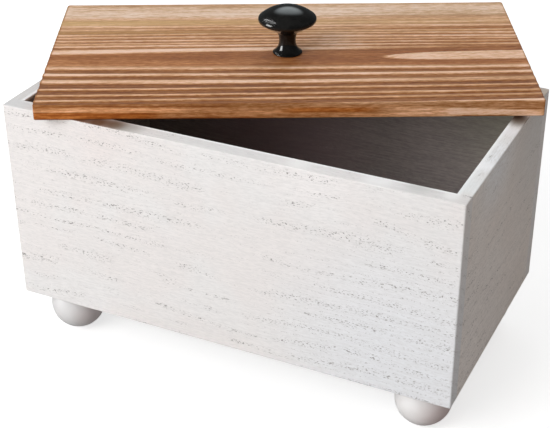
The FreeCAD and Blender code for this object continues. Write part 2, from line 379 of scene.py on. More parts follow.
class Effects:
    """The surface effects that more than one finish uses, each a node group built once."""

    # a pore's width, in its own lengths
    pore_width: ClassVar[float] = 0.39
    # the length and width of a bend of the rows, how far it shifts them, and a row's own length, all in rows
    bend_size: ClassVar[Pair] = (9.0, 2.6)
    bend_shift: ClassVar[float] = 1.5
    row_length: ClassVar[float] = 3.2
    # how far from the middle of its row a pore may still be, and where it can't be any more
    row_edge: ClassVar[Pair] = (0.06, 0.26)
    # the values of the noises where a pore starts and is full, and a row without pores and with the most
    pore_edge: ClassVar[Pair] = (0.605, 0.665)
    row_start: ClassVar[Pair] = (0.75, 0.30)
    row_softness: ClassVar[float] = 0.12
    # the coat's fine grain, in patches of the coat
    fine_scale: ClassVar[float] = 14.0
    # the length and width of a bend of wandering grain, in millimetres
    wander_size: ClassVar[Triple] = (110, 45, 45)

    @staticmethod
    def place(bench: NodeBench, name: str, **feeds: Feed) -> Sequence[Socket]:
        """Put an effect's group, named as its method here, into a material and give its outputs."""
        tree = bpy.data.node_groups.get(name) or getattr(Effects, name)()
        return bench.add("ShaderNodeGroup", feeds, node_tree=tree).outputs

    @staticmethod
    def wood_fibres() -> bpy.types.NodeTree:
        """Build fine streaks that run along X.

        Returns:
            The group, which puts out the streaks' value.
        """
        values = {"Length": 20 * MM, "Width": 0.5 * MM}
        bench, taken, given = new_group("wood_fibres", values, ["Fibre"])
        streaks = bench.measured(taken["Vector"], taken["Length"], taken["Width"])
        bench.feed(given["Fibre"], bench.noise(streaks, detail=3.0, roughness=0.6))
        return bench.tree

    @staticmethod
    def open_pores() -> bpy.types.NodeTree:
        """Build fine dashes in long wandering rows that run along X.

        Returns:
            The group, which puts out the dashes' mask.
        """
        values = {"Length": 2 * MM, "Row": 11 * MM, "Amount": 0.5}
        bench, taken, given = new_group("open_pores", values, ["Mask"])
        place, length, row = taken["Vector"], taken["Length"], taken["Row"]
        pore_width = bench.math("MULTIPLY", length, Effects.pore_width)
        bend_length, bend_width = (bench.math("MULTIPLY", row, times) for times in Effects.bend_size)
        row_length = bench.math("MULTIPLY", row, Effects.row_length)
        sizes = ((length, pore_width), (bend_length, bend_width), (row_length, row))
        dash, bend, reach = (bench.noise(bench.measured(place, *size), detail=1.0) for size in sizes)
        across = bench.math("DIVIDE", bench.math("ADD", *bench.parts(place)[1:]), row)
        shift = bench.math("MULTIPLY", bend, Effects.bend_shift)
        saw = bench.math("FRACT", bench.math("ADD", across, shift))
        beside = bench.math("ABSOLUTE", bench.math("SUBTRACT", saw, 0.5))
        in_row = bench.between(beside, *Effects.row_edge, 1.0, 0.0)
        dashes = bench.between(dash, *Effects.pore_edge)
        row_start = bench.between(taken["Amount"], 0.0, 1.0, *Effects.row_start)
        in_reach = bench.between(reach, row_start, bench.math("ADD", row_start, Effects.row_softness))
        bench.feed(given["Mask"], bench.product(dashes, in_row, in_reach))
        return bench.tree

    @staticmethod
    def uneven_coat() -> bpy.types.NodeTree:
        """Build soft patches, as of a coat that is thicker in one place than in another.

        Returns:
            The group, which puts out wide patches and a fine grain.
        """
        bench, taken, given = new_group("uneven_coat", {"Patch": 30 * MM}, ["Patches", "Fine"])
        place = bench.measured(taken["Vector"], taken["Patch"], taken["Patch"])
        bench.feed(given["Patches"], bench.noise(place, detail=2.0))
        bench.feed(given["Fine"], bench.noise(place, detail=4.0, roughness=0.7, scale=Effects.fine_scale))
        return bench.tree

    @staticmethod
    def wandering_grain() -> bpy.types.NodeTree:
        """Build grain lines that wander a little to either side as they run along X.

        Returns:
            The group, which puts out the place to read a grain pattern at.
        """
        bench, taken, given = new_group("wandering_grain", {"Wander": 4 * MM}, ["Vector"])
        slow = bench.stretch(taken["Vector"], Effects.wander_size)
        drift = bench.add("ShaderNodeTexNoise", {"Vector": slow, "Scale": 1.0, "Detail": 1.0}).outputs[1]
        centred = bench.vector("SUBTRACT", drift, (0.5, 0.5, 0.5))
        sideways = bench.add("ShaderNodeCombineXYZ", {1: taken["Wander"], 2: taken["Wander"]}).outputs[0]
        moved = bench.vector("ADD", taken["Vector"], bench.vector("MULTIPLY", centred, sideways))
        bench.feed(given["Vector"], moved)
        return bench.tree


# ---------------------------------------------------------------- pieces


def put_in_scene(name: str, data: bpy.types.ID) -> bpy.types.Object:
    """Make an object of a mesh, lamp or camera.

    Args:
        name: the object's name.
        data: what it shows.

    Returns:
        The object, in the scene.
    """
    made = bpy.data.objects.new(name, data)
    bpy.context.scene.collection.objects.link(made)
    return made


def mesh_object(name: str, mesh: bmesh.types.BMesh) -> bpy.types.Object:
    """Make an object of a modelled mesh.

    Args:
        name: the object's name.
        mesh: the bmesh, which is freed.

    Returns:
        The object, in the scene.
    """
    data = bpy.data.meshes.new(name)
    mesh.to_mesh(data)
    mesh.free()
    return put_in_scene(name, data)


def dress(piece: bpy.types.Object, material: bpy.types.Material) -> None:
    """Give a piece one material all over.

    Args:
        piece: the piece or CAD node.
        material: its finish.
    """
    slots = piece.data.materials
    for index in range(len(slots)):
        slots[index] = material
    if not slots:
        slots.append(material)


def finish_piece(
    mesh: bmesh.types.BMesh, name: str, material: bpy.types.Material, node: str, smooth: float
) -> bpy.types.Object:
    """Turn a modelled mesh into a piece of the box.

    Args:
        mesh: the bmesh, which is freed.
        name: the piece's name.
        material: its finish.
        node: the CAD node that it replaces.
        smooth: the angle in degrees under which two faces shade as one.

    Returns:
        The new object.
    """
    piece = mesh_object(name, mesh)
    piece.data.shade_smooth()
    piece.data.set_sharp_from_angle(angle=math.radians(smooth))
    dress(piece, material)
    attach(piece, BODY)
    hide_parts(node)
    return piece


def arc_through(start: Vector, middle: Vector, end: Vector, steps: int) -> list[Vector]:
    """Work out places on the arc through three points of a half section.

    Args:
        start: its first point.
        middle: a point on it.
        end: its last point.
        steps: how many parts it is cut into.

    Returns:
        The places from the first point up to, and without, the last.
    """
    a, b, c = start, middle, end
    double_area = 2 * (a.x * (b.y - c.y) + b.x * (c.y - a.y) + c.x * (a.y - b.y))
    squares = [place.length_squared for place in (a, b, c)]
    rises = (b.y - c.y, c.y - a.y, a.y - b.y)
    runs = (c.x - b.x, a.x - c.x, b.x - a.x)
    moments = (sum(square * side for square, side in zip(squares, sides)) for sides in (rises, runs))
    centre = Vector([moment / double_area for moment in moments])
    radius = (a - centre).length
    first, mid, last = (math.atan2(p.y - centre.y, p.x - centre.x) for p in (a, b, c))
    sweep = (last - first) % math.tau
    if (mid - first) % math.tau > sweep:
        sweep -= math.tau
    angles = (first + sweep * step / steps for step in range(steps))
    return [centre + radius * Vector((math.cos(angle), math.sin(angle))) for angle in angles]


@dataclass(frozen=True)
class Turning:
    """The room for a turned piece: the foot of its axis in metres, its radius and height in millimetres."""

    node: str
    axis: Vector
    radius: float
    height: float

    @classmethod
    def of(cls, node: str) -> "Turning":
        """Measure a CAD node.

        Args:
            node: the node's name.

        Returns:
            Its room.
        """
        low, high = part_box(node)
        axis = Vector(((low.x + high.x) / 2, (low.y + high.y) / 2, low.z))
        return cls(node, axis, (high.x - low.x) / 2 / MM, (high.z - low.z) / MM)

    def spun(self, section: Sequence[Vector], steps: int) -> bmesh.types.BMesh:
        """Turn a half section about the axis.

        Args:
            section: places out from the axis and up, in millimetres, from one end on the axis to the other.
            steps: how many flats go round.

        Returns:
            The turned mesh, closed, with its faces outwards.
        """
        mesh = bmesh.new()
        corners = [mesh.verts.new(self.axis + Vector((place.x, 0, place.y)) * MM) for place in section]
        geom = corners + [mesh.edges.new(ends) for ends in zip(corners, corners[1:])]
        up = (0, 0, 1)
        bmesh.ops.spin(mesh, geom=geom, cent=self.axis, axis=up, angle=math.tau, steps=steps, use_merge=True)
        bmesh.ops.remove_doubles(mesh, verts=mesh.verts, dist=0.001 * MM)
        bmesh.ops.recalc_face_normals(mesh, faces=mesh.faces)
        return mesh


# ---------------------------------------------------------------- finishes


TONE_LAYERS = ("tone", "amber", "straw")


class Grain(Enum):
    """Which way a board's grain runs."""

    ALONG_THE_BOX = 0.0
    FRONT_TO_BACK = -math.pi / 2


@dataclass(frozen=True)
class Whitewash:
    """Thin white paint over open-grained boards, and a dark grey-brown stain inside the box.

    A fibre's size is its length and width, and a pore's its length and the space between its rows, all in
    millimetres. wear is how much of the wood shows through the paint, and shift, in metres along the grain,
    gives each board a part of the pattern that no other board has.
    """

    name: str
    grain: Grain
    sizes: BoxSizes
    # patches laid over the paint and over its rim: tints, and painted shade, shadow, light and reflection
    tints_and_painted_light: tuple[SoftPatch, ...] = ()
    rim_tints_and_painted_shadow: tuple[SoftPatch, ...] = ()
    wear: float = 1.0
    shift: float = 0.0
    white: Colour = (0.805, 0.788, 0.780)
    cool: Colour = (0.785, 0.795, 0.820)
    warm: Colour = (0.805, 0.770, 0.757)
    # the painted highlight's white along the inner arris
    arris: Colour = (0.92, 0.92, 0.92)
    bare_pore: Colour = (0.25, 0.23, 0.22)
    stain: Colour = (0.355, 0.305, 0.300)
    stain_light: Colour = (0.52, 0.465, 0.440)
    # painted light: the first lifts the stain, pinker, on the back board under the lid where its shade is
    # deepest; the second makes the stain darker and greener on the right end board
    stain_tints_and_painted_light: tuple[SoftPatch, ...] = (
        SoftPatch((-30, 61.5, 90), 75, (0.62, 0.45, 0.50), 0.55),
        SoftPatch((117.5, 20, 125), 75, (0.305, 0.32, 0.205), 0.72),
    )
    # two places with more pores: where, how far round them, and how many more. The first is also cooler
    open_at: Triple = (100, -69, 45)
    open_reach: Pair = (15, 95)
    open_more: float = 0.40
    also_open_at: Triple = (-70, -69, 118)
    also_open_reach: Triple = (15, 75, 0.32)
    pore_amount: float = 0.60
    long_fibre: Pair = (26, 0.9)
    short_fibre: Pair = (3.4, 0.75)
    pore: Pair = (1.4, 9.5)
    fine_pore: Pair = (1.0, 3.1)
    patch: float = 42 * MM
    patch_edge: Pair = (0.42, 0.62)
    wander: float = 8 * MM
    pattern_start: Pair = (0.37, 0.11)
    # the thin coat's lightness, and between which values of the fibres it shows, with its share at the second
    thin_coat: float = 0.70
    worn_long: Triple = (0.35, 0.75, 0.16)
    worn_short: Triple = (0.36, 0.68, 0.26)
    # how strongly the pores show, the fine ones everywhere, and how much more near open_at
    pore_share: float = 0.90
    fine_share: float = 0.30
    fine_more: float = 0.50
    # between which values of the fibres' sum the stain gets light
    stain_edge: Pair = (0.7, 1.3)
    roughness: Pair = (0.52, 0.68)
    gloss: float = 0.2
    # a bump's height in millimetres, and its strength
    pore_bump: Pair = (0.2, 0.6)
    fibre_bump: Pair = (0.12, 0.55)
    # the stain's skin, how far it keeps from the rim and from the base, and the waves of its upper edge
    stain_skin: float = 0.15 * MM
    below_rim: float = 0.7 * MM
    above_base: float = 1 * MM
    wave_size: Triple = (9, 9, 9)
    wave: float = 1.2 * MM
    # the painted highlight along the inner arris: where it starts to fade and ends, and how far down it goes
    strip: Pair = (1.0 * MM, 2.6 * MM)
    strip_drop: float = 0.8 * MM
    rim_skin: float = 0.3 * MM

    def masks(self, bench: MaterialBench) -> tuple[Socket, Socket, Socket]:
        """Mark the places that have a finish of their own.

        Args:
            bench: the material's bench.

        Returns:
            The faces that look into the box, the strip of the rim along its inner arris, where a painted
            highlight lightens the paint, and the whole rim.
        """
        x, y, level = bench.parts(bench.place)
        out_x = bench.math("SUBTRACT", bench.math("ABSOLUTE", x), self.sizes.inner_half_length)
        out_y = bench.math("SUBTRACT", bench.math("ABSOLUTE", y), self.sizes.inner_half_depth)
        outwards = bench.math("MAXIMUM", out_x, out_y)
        rim = self.sizes.rim_level
        waves = bench.noise(bench.stretch(bench.place, self.wave_size))
        waves = bench.math("MULTIPLY", waves, self.wave)
        inside = bench.product(
            bench.math("LESS_THAN", outwards, self.stain_skin),
            bench.math("LESS_THAN", level, bench.math("SUBTRACT", rim - self.below_rim, waves)),
            bench.math("GREATER_THAN", level, self.sizes.base_level + self.above_base),
        )
        strip = bench.between(outwards, *self.strip, 1.0, 0.0)
        painted_arris_highlight = bench.product(strip, bench.math("GREATER_THAN", level, rim - self.strip_drop))
        return inside, painted_arris_highlight, bench.math("GREATER_THAN", level, rim - self.rim_skin)

    def material(self) -> bpy.types.Material:
        """Build the finish.

        Returns:
            The material.
        """
        bench = MaterialBench.start(self.name)
        inside, painted_arris_highlight, rim = self.masks(bench)
        run = bench.turned(bench.place, self.grain.value, (self.shift, *self.pattern_start))
        lines = Effects.place(bench, "wandering_grain", Vector=run, Wander=self.wander)["Vector"]
        fibre, short_fibre = (
            Effects.place(bench, "wood_fibres", Vector=lines, Length=length * MM, Width=width * MM)["Fibre"]
            for length, width in (self.long_fibre, self.short_fibre)
        )
        near = bench.near(bench.place, self.open_at, *self.open_reach)
        also_near = bench.near(bench.place, self.also_open_at, *self.also_open_reach)
        amount = bench.math("ADD", bench.math("MULTIPLY", near, self.open_more), also_near)
        amount = bench.math("ADD", amount, self.pore_amount)
        pores, fine_pores = (
            Effects.place(
                bench, "open_pores", Vector=lines, Length=length * MM, Row=row * MM, Amount=amount
            )["Mask"]
            for length, row in (self.pore, self.fine_pore)
        )
        coat = Effects.place(bench, "uneven_coat", Vector=run, Patch=self.patch)
        tint = bench.blend(bench.between(coat["Patches"], *self.patch_edge), self.warm, self.white)
        paint = bench.overlaid(bench.blend(near, tint, self.cool), self.tints_and_painted_light)
        thin = [part * self.thin_coat for part in self.white]
        for streaks, (start, end, share) in ((fibre, self.worn_long), (short_fibre, self.worn_short)):
            worn = bench.between(streaks, start, end, 0.0, share * self.wear)
            paint = bench.blend(worn, paint, thin)
        fine_more = bench.math("MULTIPLY", near, self.fine_more)
        fine_share = bench.math("ADD", fine_more, self.fine_share * self.wear)
        paint = bench.blend(bench.product(fine_pores, fine_share), paint, self.bare_pore)
        paint = bench.blend(bench.product(pores, self.pore_share), paint, self.bare_pore)
        # painted highlight along the inner arris
        paint = bench.blend(painted_arris_highlight, paint, self.arris)
        paint = bench.blend(rim, paint, bench.overlaid(paint, self.rim_tints_and_painted_shadow))
        grains = bench.math("ADD", fibre, short_fibre)
        stain = bench.blend(bench.between(grains, *self.stain_edge), self.stain, self.stain_light)
        stain = bench.overlaid(stain, self.stain_tints_and_painted_light)
        hollow = bench.math("SUBTRACT", 1.0, pores)
        return bench.finished({
            "Base Color": bench.blend(inside, paint, stain),
            "Roughness": bench.between(coat["Fine"], *MOST_OF_NOISE, *self.roughness),
            "Specular IOR Level": self.gloss,
            "Normal": bench.bump(hollow, *self.pore_bump, bench.bump(fibre, *self.fibre_bump)),
        })


@dataclass(frozen=True)
class BallPaint:
    """Brushed white paint on a turned ball, with a few open pores. Pores and rings are in millimetres."""

    name: str = "white_ball_paint"
    white: Colour = (0.82, 0.805, 0.80)
    shade: Colour = (0.74, 0.715, 0.70)
    bare_pore: Colour = (0.45, 0.42, 0.40)
    # painted shade: greyer over the left front foot, and pink-brown on the shaded right sides of the two
    # front feet
    painted_shade_on_feet: tuple[SoftPatch, ...] = (
        SoftPatch((-108, -60, 15), 28, (0.66, 0.655, 0.66), 0.60),
        SoftPatch((-93, -52, 12), 16, (0.62, 0.52, 0.52), 0.60),
        SoftPatch((115, -52, 11), 19, (0.61, 0.485, 0.48), 0.85),
    )
    turned_rings: Triple = (14, 14, 0.8)
    patch: float = 11 * MM
    # the values of the patches where the shade starts and is full, and its share there
    shade_from: Triple = (0.35, 0.7, 0.6)
    pore: Pair = (1.2, 5)
    pore_amount: float = 0.25
    pore_share: float = 0.35
    roughness: Pair = (0.38, 0.55)
    coat_bump: Pair = (0.04, 0.4)
    ring_bump: Pair = (0.06, 0.5)

    def material(self) -> bpy.types.Material:
        """Build the finish.

        Returns:
            The material.
        """
        bench = MaterialBench.start(self.name)
        rings = bench.noise(bench.stretch(bench.place, self.turned_rings))
        coat = Effects.place(bench, "uneven_coat", Vector=bench.place, Patch=self.patch)
        length, row = self.pore
        sizes = {"Length": length * MM, "Row": row * MM, "Amount": self.pore_amount}
        pores = Effects.place(bench, "open_pores", Vector=bench.place, **sizes)["Mask"]
        start, end, share = self.shade_from
        shaded = bench.between(coat["Patches"], start, end, 0.0, share)
        paint = bench.blend(shaded, self.white, self.shade)
        paint = bench.blend(bench.product(pores, self.pore_share), paint, self.bare_pore)
        return bench.finished({
            "Base Color": bench.overlaid(paint, self.painted_shade_on_feet),
            "Roughness": bench.between(coat["Fine"], *MOST_OF_NOISE, *self.roughness),
            "Normal": bench.bump(coat["Fine"], *self.coat_bump, bench.bump(rings, *self.ring_bump)),
        })


@dataclass(frozen=True)
class BrushedWood:
    """Scorched softwood brushed so that its winter rings stand proud and pale. Fibres are in millimetres."""

    turn: float
    name: str = "brushed_scorched_board"
    stops: tuple[tuple[float, Colour], ...] = (
        (0.00, (0.178, 0.062, 0.021)),
        (0.15, (0.260, 0.103, 0.036)),
        (0.30, (0.318, 0.139, 0.050)),
        (0.50, (0.462, 0.243, 0.120)),
        (0.70, (0.620, 0.353, 0.196)),
        (0.85, (0.795, 0.498, 0.328)),
        (1.00, (0.870, 0.610, 0.470)),
    )
    amber: Colour = (1.12, 0.72, 0.33)
    straw: Colour = (0.60, 0.40, 0.17)
    bleach: Colour = (0.97, 1.09, 1.18)
    long_fibre: Pair = (48, 0.75)
    short_fibre: Pair = (4.5, 0.75)
    patch: float = 28 * MM
    pattern_start: Triple = (0.31, 0.17, 0.05)
    # how far each of them shifts the tone, darker or paler
    long_shift: float = 0.14
    short_shift: float = 0.17
    patch_shift: float = 0.04
    straw_share: float = 0.7
    # the roughness of the dark wood and of the pale, and the tones that are fully the one and the other
    roughness: Pair = (0.50, 0.66)
    rough_tones: Pair = (0.1, 0.9)
    gloss: float = 0.12
    long_bump: Pair = (0.16, 0.55)
    short_bump: Pair = (0.09, 0.5)

    def material(self) -> bpy.types.Material:
        """Build the finish. It reads the lid's own tone, amber and straw attributes.

        Returns:
            The material.
        """
        bench = MaterialBench.start(self.name)
        run = bench.turned(bench.place, -self.turn, self.pattern_start)
        tone, amber, straw = (
            bench.add("ShaderNodeAttribute", attribute_name=name).outputs["Fac"]
            for name in TONE_LAYERS
        )
        long_fibre, short_fibre = (
            Effects.place(bench, "wood_fibres", Vector=run, Length=length * MM, Width=width * MM)["Fibre"]
            for length, width in (self.long_fibre, self.short_fibre)
        )
        coat = Effects.place(bench, "uneven_coat", Vector=run, Patch=self.patch)
        long_shift = bench.between(long_fibre, *NEARLY_ALL_OF_NOISE, -self.long_shift, self.long_shift)
        short_shift = bench.between(short_fibre, *NEARLY_ALL_OF_NOISE, -self.short_shift, self.short_shift)
        patch_shift = bench.between(coat["Patches"], *MOST_OF_NOISE, -self.patch_shift, self.patch_shift)
        lit = bench.math("ADD", tone, long_shift)
        lit = bench.math("ADD", lit, bench.math("ADD", short_shift, patch_shift), clamp=True)
        colour = bench.blend(amber, bench.ramp(lit, self.stops), self.amber, "MULTIPLY")
        bleached = bench.math("MULTIPLY", straw, -1.0, clamp=True)
        colour = bench.blend(bleached, colour, self.bleach, "MULTIPLY")
        yellowed = bench.math("MULTIPLY", straw, self.straw_share, clamp=True)
        colour = bench.blend(yellowed, colour, self.straw)
        raised = bench.bump(long_fibre, *self.long_bump)
        return bench.finished({
            "Base Color": colour,
            "Roughness": bench.between(lit, *self.rough_tones, *self.roughness),
            "Specular IOR Level": self.gloss,
            "Normal": bench.bump(short_fibre, *self.short_bump, raised),
        })


@dataclass(frozen=True)
class BlackEnamel:
    """Deep glossy black enamel with a faint orange peel."""

    name: str = "black_enamel"
    black: Colour = (0.0065, 0.0062, 0.0060)
    dusty: Colour = (0.012, 0.0115, 0.011)
    patch: float = 7 * MM
    dust_edge: Pair = (0.4, 0.7)
    peel_size: Triple = (1.6, 1.6, 1.6)
    peel_bump: Pair = (0.02, 0.10)
    roughness: Pair = (0.10, 0.15)
    gloss: float = 0.28

    def material(self) -> bpy.types.Material:
        """Build the finish.

        Returns:
            The material.
        """
        bench = MaterialBench.start(self.name)
        coat = Effects.place(bench, "uneven_coat", Vector=bench.place, Patch=self.patch)
        peel = bench.noise(bench.stretch(bench.place, self.peel_size), detail=1.0)
        dust = bench.between(coat["Patches"], *self.dust_edge)
        return bench.finished({
            "Base Color": bench.blend(dust, self.black, self.dusty),
            "Roughness": bench.between(coat["Fine"], *NEARLY_ALL_OF_NOISE, *self.roughness),
            "Specular IOR Level": self.gloss,
            "Normal": bench.bump(peel, *self.peel_bump),
        })


@dataclass(frozen=True)
class ZincPlate:
    """Bright zinc plate on steel screws and brads, dulled a little in patches."""

    name: str = "zinc_plate"
    bright: Colour = (0.66, 0.66, 0.64)
    dull: Colour = (0.44, 0.43, 0.40)
    patch: float = 2.5 * MM
    dull_edge: Pair = (0.35, 0.7)
    coat_bump: Pair = (0.01, 0.5)
    roughness: Pair = (0.24, 0.45)

    def material(self) -> bpy.types.Material:
        """Build the finish.

        Returns:
            The material.
        """
        bench = MaterialBench.start(self.name)
        coat = Effects.place(bench, "uneven_coat", Vector=bench.place, Patch=self.patch)
        dulled = bench.between(coat["Patches"], *self.dull_edge)
        return bench.finished({
            "Base Color": bench.blend(dulled, self.bright, self.dull),
            "Metallic": 1.0,
            "Roughness": bench.between(coat["Fine"], *MOST_OF_NOISE, *self.roughness),
            "Normal": bench.bump(coat["Fine"], *self.coat_bump),
        })


# ---------------------------------------------------------------- carcass and feet


def rim_patch(x: float, y: float, reach: float, colour: Colour, share: float) -> SoftPatch:
    """Make a soft patch on the rim."""
    return SoftPatch((x, y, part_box("left_end_board")[1].z / MM), reach, colour, share)


WARM_CORNER = rim_patch(123.5, 62.5, 10, (0.80, 0.67, 0.56), 0.85)


@dataclass(frozen=True)
class Carcass:
    """The boards, the base panel, the screws and the brads, in the shapes that the CAD gives them."""

    sizes: BoxSizes
    zinc: bpy.types.Material
    long_painted_light_and_tints: tuple[SoftPatch, ...] = (
        # painted reflection of the lid, pinker, on the front board just under it; then a paler patch on the
        # front rim
        SoftPatch((-66, -69, 134), 30, (0.81, 0.725, 0.70), 0.45),
        SoftPatch((50, -64, 142), 34, (0.92, 0.90, 0.895), 0.45),
    )
    long_rim_painted_shadow_and_tints: tuple[SoftPatch, ...] = (
        # painted shadow of the lid on the front rim where its edge crosses it, grey at the first and brown
        # under the lid; then a warm corner; then painted shade, greyer, at the left corner by the lid's end;
        # then paler and darker patches
        rim_patch(-53, -64.5, 13, (0.38, 0.365, 0.34), 0.70),
        rim_patch(-60, -65, 10, (0.17, 0.110, 0.070), 0.92),
        rim_patch(-69, -66, 12, (0.145, 0.063, 0.026), 0.96),
        rim_patch(-79, -67, 11, (0.145, 0.063, 0.026), 0.96),
        WARM_CORNER,
        rim_patch(-120, -64, 22, (0.66, 0.67, 0.68), 0.60),
        rim_patch(41, -63, 10, (0.93, 0.92, 0.905), 0.80),
        rim_patch(81, -62, 14, (0.93, 0.92, 0.915), 0.85),
        rim_patch(100.5, -61.5, 10, (0.62, 0.615, 0.60), 0.75),
        rim_patch(116, -63, 6, (0.95, 0.94, 0.93), 0.70),
    )
    end_painted_light_shade_and_tints: tuple[SoftPatch, ...] = (
        # painted shade, darker at the top and back of the right end board under the lid; painted light, paler
        # and warmer low at its front; a paler, cooler patch at its top; painted shade, greyer, on the left
        # end board by the lid's end
        SoftPatch((125, 69, 145), 95, (0.66, 0.655, 0.65), 0.75),
        SoftPatch((125, -60, 30), 110, (0.93, 0.87, 0.84), 0.60),
        SoftPatch((120, -20, 146), 42, (0.88, 0.91, 0.95), 0.75),
        SoftPatch((-121, -40, 142), 60, (0.68, 0.70, 0.72), 0.75),
    )
    end_rim_painted_shadow_and_tints: tuple[SoftPatch, ...] = (
        # painted shadow, brown to near black, on the right rim where the lid rests on it; then paler patches
        # and the warm corner
        rim_patch(121, 25.5, 11, (0.16, 0.125, 0.10), 0.97),
        rim_patch(119, 29.5, 7.5, (0.025, 0.008, 0.002), 0.97),
        rim_patch(121.5, -52, 16, (0.84, 0.87, 0.885), 0.60),
        rim_patch(120.5, 11, 8, (0.95, 0.92, 0.95), 0.50),
        rim_patch(120.5, -29, 9, (0.98, 0.97, 0.99), 0.60),
        WARM_CORNER,
    )
    end_white: Colour = (0.88, 0.825, 0.785)
    end_warm: Colour = (0.87, 0.80, 0.755)
    end_cool: Colour = (0.86, 0.83, 0.805)
    end_wear: float = 1.7

    def coats(self) -> dict[str, Whitewash]:
        """Choose the coat of each board and of the base panel.

        Returns:
            The coats, by the node's name.
        """
        plain = Whitewash("whitewash", Grain.ALONG_THE_BOX, self.sizes)
        along = replace(plain, tints_and_painted_light=self.long_painted_light_and_tints, rim_tints_and_painted_shadow=self.long_rim_painted_shadow_and_tints)
        end = Whitewash(
            "whitewash", Grain.FRONT_TO_BACK, self.sizes, self.end_painted_light_shade_and_tints, self.end_rim_painted_shadow_and_tints,
            wear=self.end_wear, white=self.end_white, warm=self.end_warm, cool=self.end_cool,
        )
        kinds = (
            ("front_board", along, 0.21),
            ("back_board", along, 1.11),
            ("left_end_board", end, 2.4),
            ("right_end_board", end, 3.3),
            ("base_panel", plain, 4.3),
        )
        return {node: replace(coat, name=f"{coat.name}_{node}", shift=shift) for node, coat, shift in kinds}

    def dress(self) -> list[bpy.types.Object]:
        """Put the finishes on the CAD nodes.

        Returns:
            The nodes.
        """
        materials = {node: coat.material() for node, coat in self.coats().items()}
        materials |= {node: self.zinc for node in ("brads", "foot_screws", "knob_screw")}
        for node, material in materials.items():
            dress(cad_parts[node], material)
        return [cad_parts[node] for node in materials]


@dataclass(frozen=True)
class BallFeet:
    """Four turned balls between a flat seat and a small flat where each stands, in millimetres."""

    paint: bpy.types.Material
    seat_radius: float = 7.5
    floor_radius: float = 3.8
    flat_share: float = 0.96
    corners: tuple[str, ...] = ("front_left", "front_right", "back_left", "back_right")
    rounds: int = 40
    flats: int = 80
    smooth: float = 35.0

    def build(self) -> list[bpy.types.Object]:
        """Turn the four feet where the CAD has them.

        Returns:
            The feet.
        """
        return [self.build_one(corner) for corner in self.corners]

    def build_one(self, corner: str) -> bpy.types.Object:
        """Turn one foot.

        Args:
            corner: the corner of the box that it stands under.

        Returns:
            The foot.
        """
        room = Turning.of(f"foot_{corner}")
        middle = math.sqrt(room.radius**2 - self.floor_radius**2)
        low = Vector((self.floor_radius, 0))
        high = Vector((self.seat_radius, middle + math.sqrt(room.radius**2 - self.seat_radius**2)))
        section = [Vector((0, 0)), low * self.flat_share]
        section += arc_through(low, Vector((room.radius, middle)), high, self.rounds)
        section += [high, Vector((self.seat_radius * self.flat_share, room.height)), Vector((0, room.height))]
        mesh = room.spun(section, self.flats)
        return finish_piece(mesh, f"ball_{corner}", self.paint, room.node, self.smooth)


# ---------------------------------------------------------------- the lid's figure


def partway(ends: Sequence[float], share: float) -> float:
    """Read a value that runs evenly from one end to the other."""
    return ends[0] + (ends[1] - ends[0]) * share


def through(values: Triple, share: float) -> float:
    """Read a smooth curve that passes through three values.

    Args:
        values: its values at the left end, halfway and at the right end.
        share: how far along it is read, from 0 at the left to 1 at the right.

    Returns:
        The curve's value there.
    """
    left, middle, right = values
    at_ends = left * (1 - share) * (1 - 2 * share) + right * share * (2 * share - 1)
    return at_ends + middle * 4 * share * (1 - share)


def eased(value: float, start: float, end: float) -> float:
    """Bring a value smoothly from 0 at the start to 1 at the end."""
    share = min(max((value - start) / (end - start), 0.0), 1.0)
    return share * share * (3 - 2 * share)


@dataclass(frozen=True)
class Drift:
    """A slow wander of a value over the wood: its patches' length and width, its layer and its strength."""

    length: float
    width: float
    layer: float
    strength: float

    def at(self, along: float, across: float) -> float:
        """Read the wander at a place."""
        return self.strength * noise.noise(Vector((along / self.length, across / self.width, self.layer)))


